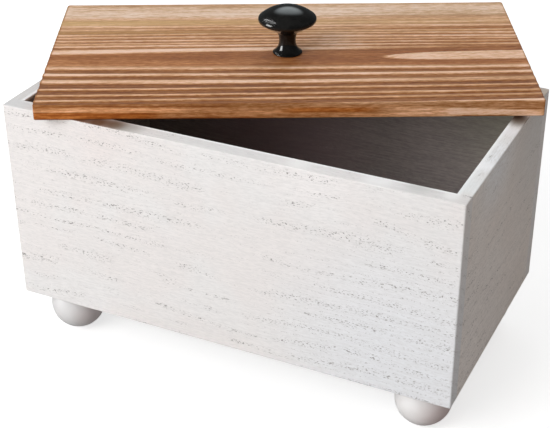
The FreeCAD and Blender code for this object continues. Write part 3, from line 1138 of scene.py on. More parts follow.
@dataclass(frozen=True)
class WinterRing:
    """One hard growth ring that the brush left proud and pale on the lid's top.

    Each triple gives the ring at the left end, halfway and at the right end. places are millimetres in from
    the front edge, pale the tone of its crest and crest half the crest's width. ahead and tail are how far
    the tone takes to rise in front of it and to fade behind it, and proud is how far it stands up. wander and
    breaks read how far along the lid they are as a share of its length.
    """

    places: Triple
    pale: Triple
    crest: Triple = (0.6, 0.6, 0.6)
    ahead: float = 1.0
    tail: float = 1.4
    proud: float = 0.7
    least_crest: ClassVar[float] = 0.3
    palest: ClassVar[float] = 0.98
    # the part of the crest's front half that has its full tone, and the parts of its halves at full height
    full_tone: ClassVar[float] = 0.6
    full_height: ClassVar[Pair] = (0.5, 0.8)
    # how much further the height reaches than the tone in front, and how many tails it reaches behind
    foot: ClassVar[float] = 0.3
    height_tails: ClassVar[float] = 1.2
    # how fast the tone fades behind, and where it starts to fade out altogether and is gone, all in tails
    fading: ClassVar[float] = 0.6
    fade_out: ClassVar[Pair] = (2.0, 3.0)
    wander: ClassVar[Drift] = Drift(1 / 6.0, 1 / 0.37, 2.5, 0.22)
    breaks: ClassVar[Drift] = Drift(1 / 11.0, 1 / 0.71, 8.5, 0.09)

    def offset(self, share: float, across: float) -> Pair:
        """Find how far a place is behind the middle of the crest, and half the crest's width there."""
        middle = through(self.places, share) + self.wander.at(share, self.places[1])
        return across - middle, max(through(self.crest, share), self.least_crest)

    def strength(self, share: float, across: float) -> float:
        """Find how strongly its tone shows at a place.

        Args:
            share: how far along the lid, from 0 at the left to 1 at the right.
            across: millimetres from the front edge.

        Returns:
            The strength, from 0 to 1.
        """
        offset, crest = self.offset(share, across)
        start, end = (crest + tails * self.tail for tails in self.fade_out)
        if offset < -crest - self.ahead or offset > end:
            return 0.0
        if offset < 0:
            return eased(offset, -crest - self.ahead, -crest * self.full_tone)
        left = math.exp(-max(offset - crest, 0.0) / (self.fading * self.tail))
        return left * (1 - eased(offset, start, end))

    def rise(self, share: float, across: float) -> float:
        """Find how much of its height it has at a place.

        Args:
            share: how far along the lid, from 0 at the left to 1 at the right.
            across: millimetres from the front edge.

        Returns:
            The share of its height, from 0 to 1.
        """
        offset, crest = self.offset(share, across)
        front, back = (crest * part for part in self.full_height)
        up = eased(offset, -crest - self.ahead - self.foot, -front)
        return up * (1 - eased(offset, back, crest + self.height_tails * self.tail))

    def paleness(self, share: float) -> float:
        """Find how pale the crest is, from 0 to 1."""
        return min(through(self.pale, share) + self.breaks.at(share, self.places[1]), self.palest)


@dataclass(frozen=True)
class FineRing(WinterRing):
    """One of the narrow growth rings behind the lid's middle."""

    crest: Triple = (0.5, 0.5, 0.5)
    tail: float = 0.8
    proud: float = 0.35


@dataclass(frozen=True)
class Streak:
    """A soft-ended streak on the lid's front face, in millimetres along it and up it.

    up gives the height of its middle at its two ends, half its half height there and fade how far its ends
    take to fade out.
    """

    start: float
    end: float
    up: Pair
    half: Pair
    tone: Pair
    amber: float = 0.0
    fade: float = 8.0
    soft: float = 0.7
    wander: ClassVar[Drift] = Drift(17, 1, 3.5, 0.25)

    def strength(self, along: float, up: float) -> float:
        """Find how strongly it shows at a place.

        Args:
            along: millimetres from the left end.
            up: millimetres from the underside.

        Returns:
            The strength, from 0 to 1.
        """
        if not self.start - self.fade < along < self.end + self.fade:
            return 0.0
        share = self.share(along)
        middle = partway(self.up, share) + self.wander.at(along, self.up[0])
        half = partway(self.half, share)
        ends = eased(along, self.start - self.fade, self.start + self.fade)
        ends *= 1 - eased(along, self.end - self.fade, self.end + self.fade)
        return ends * (1 - eased(abs(up - middle), half - self.soft / 2, half + self.soft / 2))

    def share(self, along: float) -> float:
        """Find how far a place is from the streak's start to its end, from 0 to 1."""
        return min(max((along - self.start) / (self.end - self.start), 0.0), 1.0)


@dataclass(frozen=True)
class Patch:
    """A soft patch of the lid's top that is darker or paler than the rest, in millimetres."""

    along: float
    across: float
    reach_along: float
    reach_across: float
    shift: float

    def strength(self, along: float, across: float) -> float:
        """Find how far it shifts the tone at a place."""
        far = math.hypot((along - self.along) / self.reach_along, (across - self.across) / self.reach_across)
        return self.shift * math.exp(-(far**2))


@dataclass(frozen=True)
class Tongue:
    """The pale tongue that opens between two rings towards the lid's right end, in millimetres."""

    start: float = 178.5
    half: float = 5.6
    opening: float = 12.0
    widening: float = 0.004
    across: float = 57.2
    bend: float = 1.5
    bend_length: float = 70.0
    soft: Pair = (0.5, 0.3)
    height: float = 0.30
    tone: float = 0.90

    def strength(self, along: float, across: float) -> float:
        """Find how strongly it shows at a place.

        Args:
            along: millimetres from the left end.
            across: millimetres from the front edge.

        Returns:
            The strength, from 0 to 1.
        """
        past = along - self.start
        if past <= 0:
            return 0.0
        half = self.half * (1 - math.exp(-past / self.opening)) + self.widening * past
        middle = self.across + self.bend * eased(past, 0, self.bend_length)
        return 1 - eased(abs(across - middle), half - self.soft[0], half + self.soft[1])


@dataclass(frozen=True)
class LidFigure:
    """The lid's wood as scorching and brushing left it: its tones and its relief.

    A tone runs from 0 for dark to 1 for pale. Along is measured from the board's left end, across from its
    front edge and up from its underside, in millimetres.
    A pair that starts or ends something is where it begins and where it is complete.
    """

    length: float
    depth: float
    thickness: float
    knob_place: Pair
    # across, the tone at the left and the tone at the right
    ground_tones: tuple[Triple, ...] = (
        (0.0, 0.15, 0.15), (23.0, 0.10, 0.13), (32.0, 0.10, 0.18), (40.0, 0.15, 0.18), (47.5, 0.28, 0.22),
        (52.0, 0.33, 0.20), (60.0, 0.24, 0.22), (66.0, 0.28, 0.20), (71.0, 0.34, 0.20), (75.0, 0.44, 0.28),
        (84.0, 0.38, 0.38), (91.0, 0.38, 0.38), (94.0, 0.26, 0.38), (98.5, 0.54, 0.38), (104.0, 0.64, 0.57),
        (111.0, 0.64, 0.60), (114.0, 0.80, 0.64), (117.0, 0.85, 0.58), (119.5, 0.89, 0.76),
        (122.5, 0.91, 0.72), (127.0, 0.88, 0.86), (131.0, 0.82, 0.84), (134.5, 0.68, 0.70),
        (138.0, 0.60, 0.72),
    )
    rings: tuple[WinterRing, ...] = (
        WinterRing((-4.0, -2.6, 1.35), (0.40, 0.60, 1.00), (0.5, 0.8, 1.0), ahead=0.4, tail=0.5, proud=0.6),
        WinterRing((3.9, 5.3, 8.1), (0.78, 0.68, 0.62), proud=0.6),
        WinterRing((9.9, 10.9, 13.0), (0.78, 0.70, 0.66), tail=1.6),
        WinterRing((17.4, 18.0, 20.3), (0.82, 0.69, 0.80)),
        WinterRing((27.2, 25.7, 27.7), (0.88, 0.90, 0.66), (1.7, 1.5, 1.3), ahead=1.2, tail=3.0),
        WinterRing((36.0, 34.7, 36.2), (0.97, 0.93, 1.00), (1.0, 0.9, 0.7), tail=2.4, proud=0.8),
        WinterRing((44.2, 42.8, 43.1), (0.85, 0.80, 0.98), (0.9, 0.8, 0.7), tail=4.6),
        WinterRing((54.0, 49.8, 49.6), (0.42, 0.36, 0.30), tail=2.0, proud=0.1),
        FineRing((65.6, 69.0, 71.0), (0.94, 0.90, 0.22), (2.6, 1.8, 0.4), ahead=1.6, tail=0.9, proud=0.4),
        FineRing((73.6, 74.5, 74.3), (0.88, 0.84, 0.66), tail=0.9),
        FineRing((77.3, 78.3, 78.9), (0.74, 0.76, 0.70)),
        FineRing((81.6, 82.0, 83.0), (0.86, 0.78, 0.70)),
        FineRing((85.8, 86.9, 85.9), (0.86, 0.84, 0.92), (0.5, 0.6, 0.7), tail=1.0),
        FineRing((90.0, 91.3, 90.9), (0.76, 0.74, 0.84), (0.5, 0.5, 0.6)),
        FineRing((95.0, 94.8, 95.2), (0.26, 0.62, 0.72), proud=0.25),
        FineRing((97.4, 98.8, 99.0), (0.80, 0.70, 0.36), (0.6, 0.5, 0.4), tail=0.9, proud=0.30),
        FineRing((103.2, 102.5, 102.0), (0.88, 0.88, 0.82), (0.9, 0.8, 0.6), tail=1.2, proud=0.25),
        FineRing((107.3, 106.4, 108.2), (0.72, 0.82, 0.84), (0.5, 0.6, 0.7), tail=1.1, proud=0.20),
        FineRing((111.3, 110.8, 113.2), (0.70, 0.72, 0.74), tail=1.1, proud=0.15),
    )
    tongue: Tongue = Tongue()
    patches: tuple[Patch, ...] = (
        Patch(92, 104, 48, 7.5, -0.16),
        Patch(85, 60, 45, 8, -0.08),
        Patch(90, 43, 35, 4, -0.06),
        Patch(200, 25.5, 30, 4, -0.13),
        # painted light: these two lift the tone where the knob's shadow falls behind it
        Patch(156, 76, 16, 7, 0.24),
        Patch(156, 90, 16, 8, 0.17),
        Patch(154, 62, 16, 5, 0.10),
        Patch(156, 121, 22, 9, 0.12),
        Patch(98, 132, 26, 6, -0.14),
        Patch(15, 33, 18, 5, 0.10),
        Patch(12, 60, 14, 7, 0.08),
        Patch(246, 68, 12, 4, 0.08),
    )
    face_streaks: tuple[Streak, ...] = (
        Streak(0, 257, (8.4, 6.6), (1.1, 2.6), (0.30, 0.46), amber=0.20, fade=4),
        Streak(60, 122, (1.8, 1.8), (1.9, 1.9), (0.40, 0.42), amber=0.45),
        Streak(-10, 62, (1.6, 1.8), (2.4, 2.2), (0.38, 0.24), amber=1.0),
        Streak(0, 34, (5.6, 5.4), (1.0, 1.2), (0.72, 0.70), amber=0.45),
        Streak(30, 76, (5.0, 5.0), (1.5, 1.3), (0.68, 0.78), amber=0.52),
        Streak(76, 104, (4.9, 4.9), (1.0, 0.8), (0.66, 0.56), amber=0.40),
        Streak(104, 124, (3.6, 3.8), (1.0, 0.8), (0.52, 0.50), amber=0.45),
        Streak(100, 190, (6.0, 6.0), (0.7, 0.7), (0.48, 0.54), amber=0.35, fade=12),
        Streak(120, 176, (1.4, 1.6), (1.4, 1.2), (0.40, 0.52), amber=0.38),
        Streak(126, 170, (4.3, 4.3), (1.3, 1.1), (0.34, 0.34), amber=1.0, soft=1.4),
        Streak(142, 158, (4.1, 4.1), (0.6, 0.6), (0.24, 0.24), amber=1.0, fade=6),
        Streak(178, 206, (2.6, 2.8), (2.6, 2.6), (0.68, 0.80), amber=0.28, soft=1.0),
        Streak(206, 257, (2.6, 0.9), (2.6, 2.4), (0.92, 0.86), amber=0.12, fade=6, soft=0.8),
        Streak(0, 100, (7.1, 7.0), (0.45, 0.40), (0.12, 0.22), amber=0.60, fade=6, soft=0.5),
        Streak(96, 172, (7.0, 7.0), (0.35, 0.30), (0.30, 0.36), amber=0.30, soft=0.5),
        Streak(140, 206, (7.9, 8.4), (0.40, 0.40), (0.58, 0.64), amber=0.05, fade=10, soft=0.5),
        Streak(206, 232, (8.5, 9.0), (0.30, 0.30), (0.66, 0.95), soft=0.5),
        # a dark brown line along the lower arris on the left, then painted shadow on the lower arris at the
        # right, where the lid rests on the rim
        Streak(-10, 112, (0.25, 0.20), (0.60, 0.45), (0.02, 0.10), amber=0.60, soft=0.5),
        Streak(212, 238, (0.20, 0.20), (0.50, 0.50), (0.04, 0.10), amber=0.30, fade=4, soft=0.5),
    )
    # the grooves between the rings, and where they get shallower and by how much
    groove: float = 0.75
    shallower: tuple[Triple, ...] = ((44, 50, 0.40), (104, 114, 0.15))
    fibre_relief: Drift = Drift(26, 0.9, 4.0, 0.05)
    least_relief: float = 0.01
    # how much relief is left at each end and how far in it is full, the flat pad for the knob, and where
    # the relief starts behind the front edge
    left_end: Pair = (0.60, 6.0)
    right_end: Pair = (0.35, 7.0)
    knob_pad: Pair = (7.0, 12.0)
    front_start: Pair = (-0.6, 0.8)
    # tones: where the left's ground turns into the right's, how it drifts, the painted highlight along the
    # front arris and the charred ends
    right_ground: Pair = (0.25, 0.75)
    drifts: tuple[Drift, ...] = (Drift(50, 3.5, 1.0, 0.05), Drift(90, 0.8, 5.0, 0.03))
    arris_highlight_start: Pair = (120, 175)
    arris_highlight_end: Pair = (0.4, 1.5)
    lit: Pair = (0.8, 0.95)
    charred_left: Triple = (0.55, 0.5, 1.5)
    charred_right: Triple = (0.35, 0.4, 1.2)
    # straw: the middle, reach and strength of each band, and the bleached back with what is left of it
    straw_bands: tuple[Triple, ...] = ((108.5, 4.5, 1.0), (94.0, 3.0, 0.5))
    straw_strength: float = 0.95
    straw_loss: float = 0.7
    bleached_start: Pair = (113, 118)
    bleached_end: Pair = (131, 137)
    bleached_after: float = 0.6
    # amber: the honey brown of the dark wood, the tones at which it ends, and the heart in front of the knob
    honey: Pair = (0.15, 0.30)
    honey_end: Pair = (0.35, 0.75)
    heart_start: Pair = (44, 48)
    heart_end: Pair = (62, 70)
    heart_kept: float = 0.5
    # the narrow faces: the front's and the back's own tones, and the ends' tones, which are the top's, a
    # little darker and slanting back as they go down
    edge: float = 0.6
    front_tone: float = 0.42
    front_amber: float = 0.30
    front_drift: Drift = Drift(18, 1.2, 6.0, 0.05)
    back_tone: float = 0.55
    back_drift: Drift = Drift(60, 2.0, 3.0, 0.12)
    other_amber: float = 0.10
    end_slant: float = 0.6
    end_shade: Pair = (0.8, 0.02)

    def relief(self, along: float, across: float) -> float:
        """Find how far the brushed top lies under the board's own top face.

        Args:
            along: millimetres from the left end.
            across: millimetres from the front edge.

        Returns:
            The depth in millimetres, 0 or less.
        """
        share = along / self.length
        groove = self.groove - sum(less * eased(across, start, end) for start, end, less in self.shallower)
        height = max(min(ring.proud, groove) * ring.rise(share, across) for ring in self.rings)
        height = max(height, min(self.tongue.height, groove) * self.tongue.strength(along, across))
        depth = min(height - groove + self.fibre_relief.at(along, across), -self.least_relief)
        away = math.hypot(along - self.knob_place[0], across - self.knob_place[1])
        for distance, (left_over, reach) in ((along, self.left_end), (self.length - along, self.right_end)):
            depth *= partway((left_over, 1.0), eased(distance, 0, reach))
        return depth * eased(away, *self.knob_pad) * eased(across, *self.front_start)

    def ground(self, along: float, across: float) -> float:
        """Find the wood's tone between its rings.

        Args:
            along: millimetres from the left end.
            across: millimetres from the front edge.

        Returns:
            The tone.
        """
        rightwards = eased(along / self.length, *self.right_ground)
        stops = self.ground_tones
        tone = stops[-1][1]
        for (near, *here), (far, *there) in zip(stops, stops[1:]):
            if across <= far:
                ends = partway(here, rightwards), partway(there, rightwards)
                tone = partway(ends, eased(across, near, far))
                break
        return tone + sum(drift.at(along, across) for drift in self.drifts)

    def top_tone(self, along: float, across: float) -> float:
        """Find the tone of the brushed top.

        Args:
            along: millimetres from the left end.
            across: millimetres from the front edge.

        Returns:
            The tone.
        """
        share = along / self.length
        tone = self.ground(along, across)
        for ring in self.rings:
            strength = ring.strength(share, across)
            if strength > 0:
                tone += max(ring.paleness(share) - tone, 0.0) * strength
        tone += sum(patch.strength(along, across) for patch in self.patches)
        tone += (self.tongue.tone - tone) * self.tongue.strength(along, across)
        # painted highlight along the front arris, towards the right
        highlight_share, highlight_tone = self.lit
        highlight_share *= eased(along, *self.arris_highlight_start) * (1 - eased(across, *self.arris_highlight_end))
        tone += max(highlight_tone - tone, 0.0) * highlight_share
        charred = 0.0
        for distance, ends in ((along, self.charred_left), (self.length - along, self.charred_right)):
            charred += ends[0] * (1 - eased(distance, *ends[1:]))
        return tone * (1 - charred)

    def straw(self, along: float, across: float) -> float:
        """Find how straw yellow the wood is.

        Args:
            along: millimetres from the left end.
            across: millimetres from the front edge.

        Returns:
            How yellow it is, from 0 to 1, or how bleached, below 0.
        """
        band = sum(
            share * math.exp(-(((across - middle) / reach) ** 2)) for middle, reach, share in self.straw_bands
        )
        past = eased(across, *self.bleached_end)
        bleached = eased(across, *self.bleached_start) * (1 - past) + self.bleached_after * past
        return self.straw_strength * band * (1 - self.straw_loss * along / self.length) - bleached

    def amber(self, along: float, across: float, tone: float) -> float:
        """Find how honey brown the wood between the rings is.

        Args:
            along: millimetres from the left end.
            across: millimetres from the front edge.
            tone: its tone there.

        Returns:
            How amber it is, from 0 to 1.
        """
        kept = 1 - self.heart_kept * along / self.length
        heart = eased(across, *self.heart_start) * (1 - eased(across, *self.heart_end) * kept)
        honey = self.honey[0] + self.honey[1] * heart * (1 - self.tongue.strength(along, across))
        return honey * (1 - eased(tone, *self.honey_end))

    def side_tones(self, along: float, across: float, up: float) -> Pair:
        """Find the tone of the board's four narrow faces.

        Args:
            along: millimetres from the left end.
            across: millimetres from the front edge.
            up: millimetres from the underside.

        Returns:
            The tone and how amber it is.
        """
        if across < self.edge:
            tone, amber = self.front_tone + self.front_drift.at(along, up), self.front_amber
            for streak in self.face_streaks:
                strength = streak.strength(along, up)
                tone += (partway(streak.tone, streak.share(along)) - tone) * strength
                amber += (streak.amber - amber) * strength
            return tone, amber
        if across > self.depth - self.edge:
            return self.back_tone + self.back_drift.at(along, up), self.other_amber
        slanted = across + self.end_slant * (self.thickness - up)
        return self.top_tone(along, slanted) * self.end_shade[0] - self.end_shade[1], self.other_amber


# ---------------------------------------------------------------- the lid board


@dataclass
class LidBoard:
    """The loose lid: one softwood board, scorched and brushed, lying askew on the rim.

    Its sizes are in millimetres, its turn is in radians, and centre, the middle of its underside as it lies,
    is in metres. back_corner is the corners' radius at the back, where they are worn rounder.
    """

    turn: float = math.radians(26.15)
    corner: float = 0.6
    back_corner: float = 1.8
    arris: float = 0.5
    # the mesh of the top, how its lines crowd to the board's edges along and across, and the mesh below it
    columns: int = 110
    rows: int = 460
    crowding: Pair = (0.86, 0.5)
    side_levels: int = 14
    arris_angles: Triple = (30.0, 60.0, 90.0)
    # how much of a groove's depth each end is worn back by, and how far in that reaches
    worn_ends: Pair = (0.30, 0.05)
    worn_reach: float = 1.6
    # how far down a worn end starts to come out to the board's full length, and has come out
    upright: Pair = (0.8, 4.5)
    # how far under the arris the sides' own figure starts, and how far in it goes
    side_start: float = 0.80
    side_skin: float = 0.12
    # how far up the plain underside's tone goes, and the tone
    underside: float = 0.05
    underside_tone: float = 0.60
    smooth: float = 50.0
    node: str = "lid_board"
    length: float = field(init=False)
    depth: float = field(init=False)
    thickness: float = field(init=False)
    centre: Vector = field(init=False)
    figure: LidFigure = field(init=False)

    def __post_init__(self) -> None:
        """Solve the board's own length and depth from the box round it as it lies."""
        low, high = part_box(self.node)
        wide, deep = ((side / MM - 2 * self.corner) for side in (high.x - low.x, high.y - low.y))
        cosine, sine = math.cos(self.turn), math.sin(self.turn)
        scale = cosine**2 - sine**2
        self.length = (wide * cosine - deep * sine) / scale + 2 * self.corner
        self.depth = (deep * cosine - wide * sine) / scale + 2 * self.corner
        self.thickness = (high.z - low.z) / MM
        self.centre = Vector(((low.x + high.x) / 2, (low.y + high.y) / 2, low.z))
        knob_low, knob_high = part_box("knob")
        knob = Matrix.Rotation(-self.turn, 3, "Z") @ ((knob_low + knob_high) / 2 - self.centre) / MM
        knob_place = (self.length / 2 + knob.x, self.depth / 2 + knob.y)
        self.figure = LidFigure(self.length, self.depth, self.thickness, knob_place)

    def shape_top(self, mesh: bmesh.types.BMesh) -> None:
        """Bring a flat unit grid to the board's plan, with its rounded corners, arris and brushed relief.

        Args:
            mesh: the grid, whose vertices end in the board's own millimetres.
        """
        for corner in mesh.verts:
            plan = []
            for part, crowding, side in zip(corner.co.xy, self.crowding, (self.length, self.depth)):
                part += 0.5
                plan.append((part - crowding * math.sin(math.tau * part) / math.tau) * side)
            along, across = self.round_corner(*plan)
            inwards = self.rim_distance(along, across)
            fall = 0.0
            if inwards < self.arris:
                fall = self.arris - math.sqrt(max(self.arris**2 - (self.arris - inwards) ** 2, 0.0))
            depth = self.figure.relief(along, across)
            half = self.length / 2
            ends = eased(abs(along - half), half - self.worn_reach, half)
            worn = -depth * self.worn_ends[0] if along < half else depth * self.worn_ends[1]
            corner.co = Vector((along + worn * ends, across, self.thickness + depth - fall))

    def corner_at(self, across: float) -> float:
        """Find the radius of the plan's corners, which are worn rounder at the back."""
        return self.corner if across < self.depth / 2 else self.back_corner

    def round_corner(self, along: float, across: float) -> Pair:
        """Move a place of the square plan onto the plan with rounded corners.

        Args:
            along: millimetres from the left end.
            across: millimetres from the front edge.

        Returns:
            The place on the rounded plan.
        """
        near_x, near_y = min(along, self.length - along), min(across, self.depth - across)
        corner = self.corner_at(across)
        if near_x >= corner or near_y >= corner:
            return along, across
        a, b = 1 - near_x / corner, 1 - near_y / corner
        new_x = corner * (1 - a * math.sqrt(1 - b * b / 2))
        new_y = corner * (1 - b * math.sqrt(1 - a * a / 2))
        return (
            new_x if along < self.length / 2 else self.length - new_x,
            new_y if across < self.depth / 2 else self.depth - new_y,
        )

    def rim_distance(self, along: float, across: float) -> float:
        """Find how far a place is in from the rounded plan's edge.

        Args:
            along: millimetres from the left end.
            across: millimetres from the front edge.

        Returns:
            The distance, in millimetres.
        """
        near_x, near_y = min(along, self.length - along), min(across, self.depth - across)
        corner = self.corner_at(across)
        if near_x < corner and near_y < corner:
            return corner - math.hypot(corner - near_x, corner - near_y)
        return min(near_x, near_y)

    def foot_of(self, top: Vector) -> float:
        """Find how far along the board a side stands, under a place of the top's worn edge."""
        straight = self.corner < top.y < self.depth - self.back_corner
        return (0.0 if top.x < self.length / 2 else self.length) if straight else top.x

    def side_place(self, top: Vector, share: float) -> Vector:
        """Find a place on a side.

        Args:
            top: the place of the top's edge that it lies under.
            share: how far down the side it is, from 0 to 1.

        Returns:
            The place.
        """
        level = top.z + (self.arris - top.z) * share
        sunk = eased(self.thickness - level, *self.upright)
        return Vector((partway((top.x, self.foot_of(top)), sunk), top.y, level))

    def lower_place(self, top: Vector, angle: float) -> Vector:
        """Find a place on the rounded lower arris.

        Args:
            top: the place of the top's edge that it lies under.
            angle: how far round the arris it is, in radians.

        Returns:
            The place.
        """
        foot = Vector((self.foot_of(top), top.y, self.arris * (1 - math.sin(angle))))
        inward = self.arris * (1 - math.cos(angle))
        round_by = self.corner_at(foot.y)
        if min(foot.x, self.length - foot.x) < round_by:
            foot.x += math.copysign(inward, self.length / 2 - top.x)
        if min(foot.y, self.depth - foot.y) < round_by:
            foot.y += math.copysign(inward, self.depth / 2 - top.y)
        return foot

    def drop_sides(self, mesh: bmesh.types.BMesh) -> None:
        """Extrude the sides down from the grid's edge, round their lower arris and close the underside.

        Args:
            mesh: the shaped top.
        """
        levels = range(1, self.side_levels + 1)
        steps = [partial(self.side_place, share=level / self.side_levels) for level in levels]
        steps += [partial(self.lower_place, angle=math.radians(angle)) for angle in self.arris_angles]
        loop = [edge for edge in mesh.edges if edge.is_boundary]
        tops = {}
        for place in steps:
            made = bmesh.ops.extrude_edge_only(mesh, edges=loop)["geom"]
            loop = [item for item in made if isinstance(item, bmesh.types.BMEdge)]
            level = set(loop)
            for corner in {corner for edge in loop for corner in edge.verts}:
                above = next(edge.other_vert(corner) for edge in corner.link_edges if edge not in level)
                tops[corner] = tops.get(above, above.co.copy())
                corner.co = place(tops[corner])
        bmesh.ops.contextual_create(mesh, geom=loop)

    def colour_wood(self, mesh: bmesh.types.BMesh) -> None:
        """Write the tone, amber and straw of every place on the board.

        Args:
            mesh: the shaped board, still in its own millimetres.
        """
        layers = [mesh.verts.layers.float.new(name) for name in TONE_LAYERS]
        for corner in mesh.verts:
            along, across, up = corner.co
            on_side = up < self.thickness - self.arris - self.side_start
            if up < self.underside:
                tones = (self.underside_tone, 0.0, 0.0)
            elif on_side or self.rim_distance(along, across) < self.side_skin:
                tones = (*self.figure.side_tones(along, across, up), 0.0)
            else:
                tone = self.figure.top_tone(along, across)
                amber = self.figure.amber(along, across, tone)
                tones = (tone, amber, self.figure.straw(along, across))
            for layer, value in zip(layers, tones):
                corner[layer] = value

    def build(self) -> bpy.types.Object:
        """Model the board and lay it on the rim.

        Returns:
            The lid.
        """
        mesh = bmesh.new()
        bmesh.ops.create_grid(mesh, x_segments=self.columns, y_segments=self.rows, size=0.5)
        self.shape_top(mesh)
        self.drop_sides(mesh)
        self.colour_wood(mesh)
        bmesh.ops.recalc_face_normals(mesh, faces=mesh.faces)
        lay = Matrix.Translation(self.centre) @ Matrix.Rotation(self.turn, 4, "Z") @ Matrix.Scale(MM, 4)
        lay @= Matrix.Translation((-self.length / 2, -self.depth / 2, 0))
        bmesh.ops.transform(mesh, matrix=lay, verts=mesh.verts)
        wood = BrushedWood(self.turn).material()
        return finish_piece(mesh, "brushed_lid", wood, self.node, self.smooth)


# ---------------------------------------------------------------- knob


@dataclass(frozen=True)
class MushroomKnob:
    """A turned mushroom knob: a thin lip, a trumpet neck and a domed cap. In millimetres from its base.

    A pair is a radius and its height. steps cut the lip, the neck's lower and upper hollow, the cap's
    underside, its rim and its dome.
    """

    enamel: bpy.types.Material
    base_radius: float = 8.0
    lip_height: float = 0.8
    lip_step: float = 0.3
    neck: Pair = (4.5, 7.0)
    throat: Pair = (5.5, 12.0)
    underside_bulge: float = 0.1
    rim_half_height: float = 1.7
    rim_roll: float = 1.1
    dome_rise: float = 5.4
    steps: tuple[int, ...] = (8, 12, 8, 12, 14, 24)
    flats: int = 128
    smooth: float = 60.0

    @staticmethod
    def hollow(narrow: Vector, end: Vector) -> Vector:
        """Find the middle of the hollow arc that leaves the neck's narrowest place upright.

        Args:
            narrow: the narrowest place.
            end: the arc's other end.

        Returns:
            The middle.
        """
        out, rise = end - narrow
        radius = (out**2 + rise**2) / (2 * out)
        half = math.atan2(abs(rise), radius - out) / 2
        return narrow + radius * Vector((1 - math.cos(half), math.copysign(math.sin(half), rise)))

    @staticmethod
    def dome(edge: Vector, crown: Vector) -> Vector:
        """Find the middle of the arc from the cap's edge up to its crown.

        Args:
            edge: the edge.
            crown: the crown, on the axis.

        Returns:
            The middle.
        """
        rise = crown.y - edge.y
        radius = (edge.x**2 + rise**2) / (2 * rise)
        half = math.asin(edge.x / radius) / 2
        return crown + radius * Vector((math.sin(half), math.cos(half) - 1))

    def section(self, cap_radius: float, height: float) -> list[Vector]:
        """Draw the knob's half section.

        Args:
            cap_radius: the cap's radius.
            height: the knob's height.

        Returns:
            Its places out from the axis and up, from the foot of the axis to the crown.
        """
        inner_lip = self.base_radius - self.lip_step
        lip_low, lip_high = Vector((inner_lip, 0)), Vector((inner_lip, self.lip_height))
        lip_out = Vector((self.base_radius, self.lip_height / 2))
        neck, throat, crown = Vector(self.neck), Vector(self.throat), Vector((0, height))
        rim_high = Vector((cap_radius - self.rim_roll, height - self.dome_rise))
        rim_low = rim_high - Vector((0, 2 * self.rim_half_height))
        rim_out = Vector((cap_radius, rim_high.y - self.rim_half_height))
        underside = (throat + rim_low) / 2 - Vector((0, self.underside_bulge))
        arcs = (
            (lip_low, lip_out, lip_high),
            (lip_high, self.hollow(neck, lip_high), neck),
            (neck, self.hollow(neck, throat), throat),
            (throat, underside, rim_low),
            (rim_low, rim_out, rim_high),
            (rim_high, self.dome(rim_high, crown), crown),
        )
        curves = (arc_through(*arc, steps) for arc, steps in zip(arcs, self.steps))
        return [Vector((0, 0)), *chain.from_iterable(curves), crown]

    def build(self) -> bpy.types.Object:
        """Turn the knob where the CAD has it.

        Returns:
            The knob.
        """
        room = Turning.of("knob")
        mesh = room.spun(self.section(room.radius, room.height), self.flats)
        return finish_piece(mesh, "mushroom_knob", self.enamel, room.node, self.smooth)


# ---------------------------------------------------------------- studio


@dataclass(frozen=True)
class Lamp:
    """A soft oblong lamp that faces the box, its size and its distance in metres.

    A gleam lamp shows only in gleams, most of all in the knob's, and any other lamp only lights. lean is how
    far it leans over, in degrees, and power is in watts.
    """

    name: str
    towards: Triple
    size: Pair
    power: float
    gleam: bool = False
    lean: float = 0.0
    colour: Colour = (1.0, 1.0, 1.0)
    distance: ClassVar[float] = 1.8
    aim: ClassVar[Triple] = (0, 0, 0.09)

    def hang(self) -> None:
        """Hang the lamp."""
        light = bpy.data.lights.new(self.name, "AREA")
        light.shape = "RECTANGLE"
        light.size, light.size_y = self.size
        light.energy = self.power
        light.color = self.colour
        towards = Vector(self.towards).normalized()
        lamp = put_in_scene(self.name, light)
        lamp.visible_diffuse = not self.gleam
        lamp.visible_glossy = self.gleam
        lamp.location = Vector(self.aim) + towards * self.distance
        lean = Matrix.Rotation(math.radians(self.lean), 3, "Z")
        lamp.rotation_euler = (towards.to_track_quat("Z", "Y").to_matrix() @ lean).to_euler()


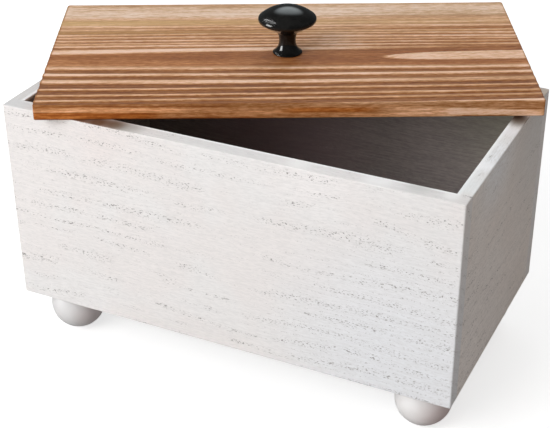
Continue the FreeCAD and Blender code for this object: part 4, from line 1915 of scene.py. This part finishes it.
@dataclass(frozen=True)
class Studio:
    """A plain pale floor, soft lamps, a white surround and the camera.

    Angles are in radians and lengths in metres, and only the lens's focal length is in millimetres.
    """

    eye: Triple = (0.26434, -0.55054, 0.42231)
    azimuth: float = math.radians(25.218)
    elevation: float = math.radians(30.766)
    roll: float = math.radians(-0.094)
    lens: float = 84.0
    shift: Pair = (-0.024, 0.036)
    # the floor's half side, how far it lies under the feet, its grey and the one in gleams, and its glow
    floor_size: float = 3.0
    floor_drop: float = 0.05 * MM
    floor_grey: float = 0.56
    floor_in_gleams: float = 0.12
    floor_glow: float = 0.66
    # in gleams: the way to the window, the cosines where it starts and is full, and how bright it is beside
    # the window and in it
    window: Triple = (-0.27, 0.65, 0.71)
    window_edge: Pair = (0.91, 0.992)
    in_gleams: Pair = (0.12, 3.7)
    # as a light: where the right side starts and is full, the light from the left and from the right, the
    # colour of the light from the right, and the colour that gleams have instead
    right_side: Pair = (-0.2, 0.9)
    light: Pair = (0.34, 0.33)
    warm: Colour = (1.0, 0.86, 0.77)
    cool: Colour = (0.88, 0.97, 1.0)
    lamps: tuple[Lamp, ...] = (
        Lamp("key", (-0.42, -0.78, 0.46), (1.4, 1.4), 30.0),
        Lamp("fill", (-0.2, 0.80, 0.7), (2.4, 2.4), 17.0, colour=(0.88, 0.96, 1.0)),
        Lamp("high_gleam", (-0.635, 0.05, 0.76), (0.04, 1.35), 3.0, gleam=True, lean=-35.0),
        Lamp("low_gleam", (-0.76, -0.56, 0.32), (0.75, 1.0), 52.0, gleam=True),
    )

    def floor(self) -> None:
        """Lay the floor, which stays white to the camera except where the box shades it."""
        mesh = bmesh.new()
        bmesh.ops.create_grid(mesh, x_segments=2, y_segments=2, size=self.floor_size)
        floor = mesh_object("floor", mesh)
        floor.location.z = -self.floor_drop
        bench = MaterialBench.start("pale_floor")
        path = bench.add("ShaderNodeLightPath").outputs
        grey, darker = (self.floor_grey,) * 3, (self.floor_in_gleams,) * 3
        dress(floor, bench.finished({
            "Base Color": bench.blend(path["Is Glossy Ray"], grey, darker),
            "Roughness": 0.9,
            "Specular IOR Level": 0.0,
            "Emission Color": (1.0, 1.0, 1.0),
            "Emission Strength": bench.product(path["Is Camera Ray"], self.floor_glow),
        }))

    def surround(self) -> None:
        """Set the world: white to the camera, soft grey as a light, and a bright window in gleams."""
        world = bpy.data.worlds.new("surround")
        world.use_nodes = True
        bench = NodeBench(world.node_tree)
        background = world.node_tree.nodes["Background"]
        path = bench.add("ShaderNodeLightPath").outputs
        glossy, seen = path["Is Glossy Ray"], path["Is Camera Ray"]
        place = bench.add("ShaderNodeTexCoord").outputs["Generated"]
        towards = bench.vector("DOT_PRODUCT", place, Vector(self.window).normalized())
        mirrored = bench.between(towards, *self.window_edge, *self.in_gleams)
        from_right = bench.between(bench.parts(place)[0], *self.right_side)
        soft = bench.between(from_right, 0.0, 1.0, *self.light)
        level = bench.product(glossy, bench.math("SUBTRACT", mirrored, soft))
        level = bench.math("MAXIMUM", bench.math("ADD", level, soft), seen)
        bench.feed(background.inputs["Strength"], level)
        not_seen, not_glossy = (bench.math("SUBTRACT", 1.0, ray) for ray in (seen, glossy))
        tint = bench.blend(bench.product(from_right, not_seen, not_glossy), (1.0, 1.0, 1.0), self.warm)
        bench.feed(background.inputs["Color"], bench.blend(glossy, tint, self.cool))
        bpy.context.scene.world = world

    def camera(self) -> None:
        """Set up the camera."""
        level, rise = math.cos(self.elevation), math.sin(self.elevation)
        back = Vector((math.sin(self.azimuth) * level, -math.cos(self.azimuth) * level, rise))
        right = (-back).cross(Vector((0, 0, 1))).normalized()
        upward = right.cross(-back)
        turned_right = math.cos(self.roll) * right + math.sin(self.roll) * upward
        turned_up = math.cos(self.roll) * upward - math.sin(self.roll) * right
        lens = bpy.data.cameras.new("camera")
        lens.lens = self.lens
        lens.sensor_width = 36.0
        lens.shift_x, lens.shift_y = self.shift
        lens.sensor_fit = "HORIZONTAL"
        lens.clip_start = 0.01
        camera = put_in_scene("camera", lens)
        turn = Matrix((turned_right, turned_up, back)).transposed()
        camera.matrix_world = Matrix.Translation(self.eye) @ turn.to_4x4()
        bpy.context.scene.camera = camera

    def build(self) -> None:
        """Set the whole stage."""
        self.floor()
        self.surround()
        for lamp in self.lamps:
            lamp.hang()
        self.camera()
        bpy.context.scene.view_settings.view_transform = "Standard"
        log.info("studio: floor, surround, camera and %d lamps", len(self.lamps))


def main() -> None:
    """Build the box piece by piece, then the studio."""
    logging.basicConfig(level=logging.INFO, format="%(name)s: %(message)s")
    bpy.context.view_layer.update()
    pieces = Carcass(BoxSizes.from_frame(), ZincPlate().material()).dress()
    pieces += BallFeet(BallPaint().material()).build()
    pieces.append(LidBoard().build())
    pieces.append(MushroomKnob(BlackEnamel().material()).build())
    for piece in pieces:
        data = piece.data
        log.info("%s: %d faces, finished in %s", piece.name, len(data.polygons), data.materials[0].name)
    Studio().build()


if __name__ == "__main__":
    main()
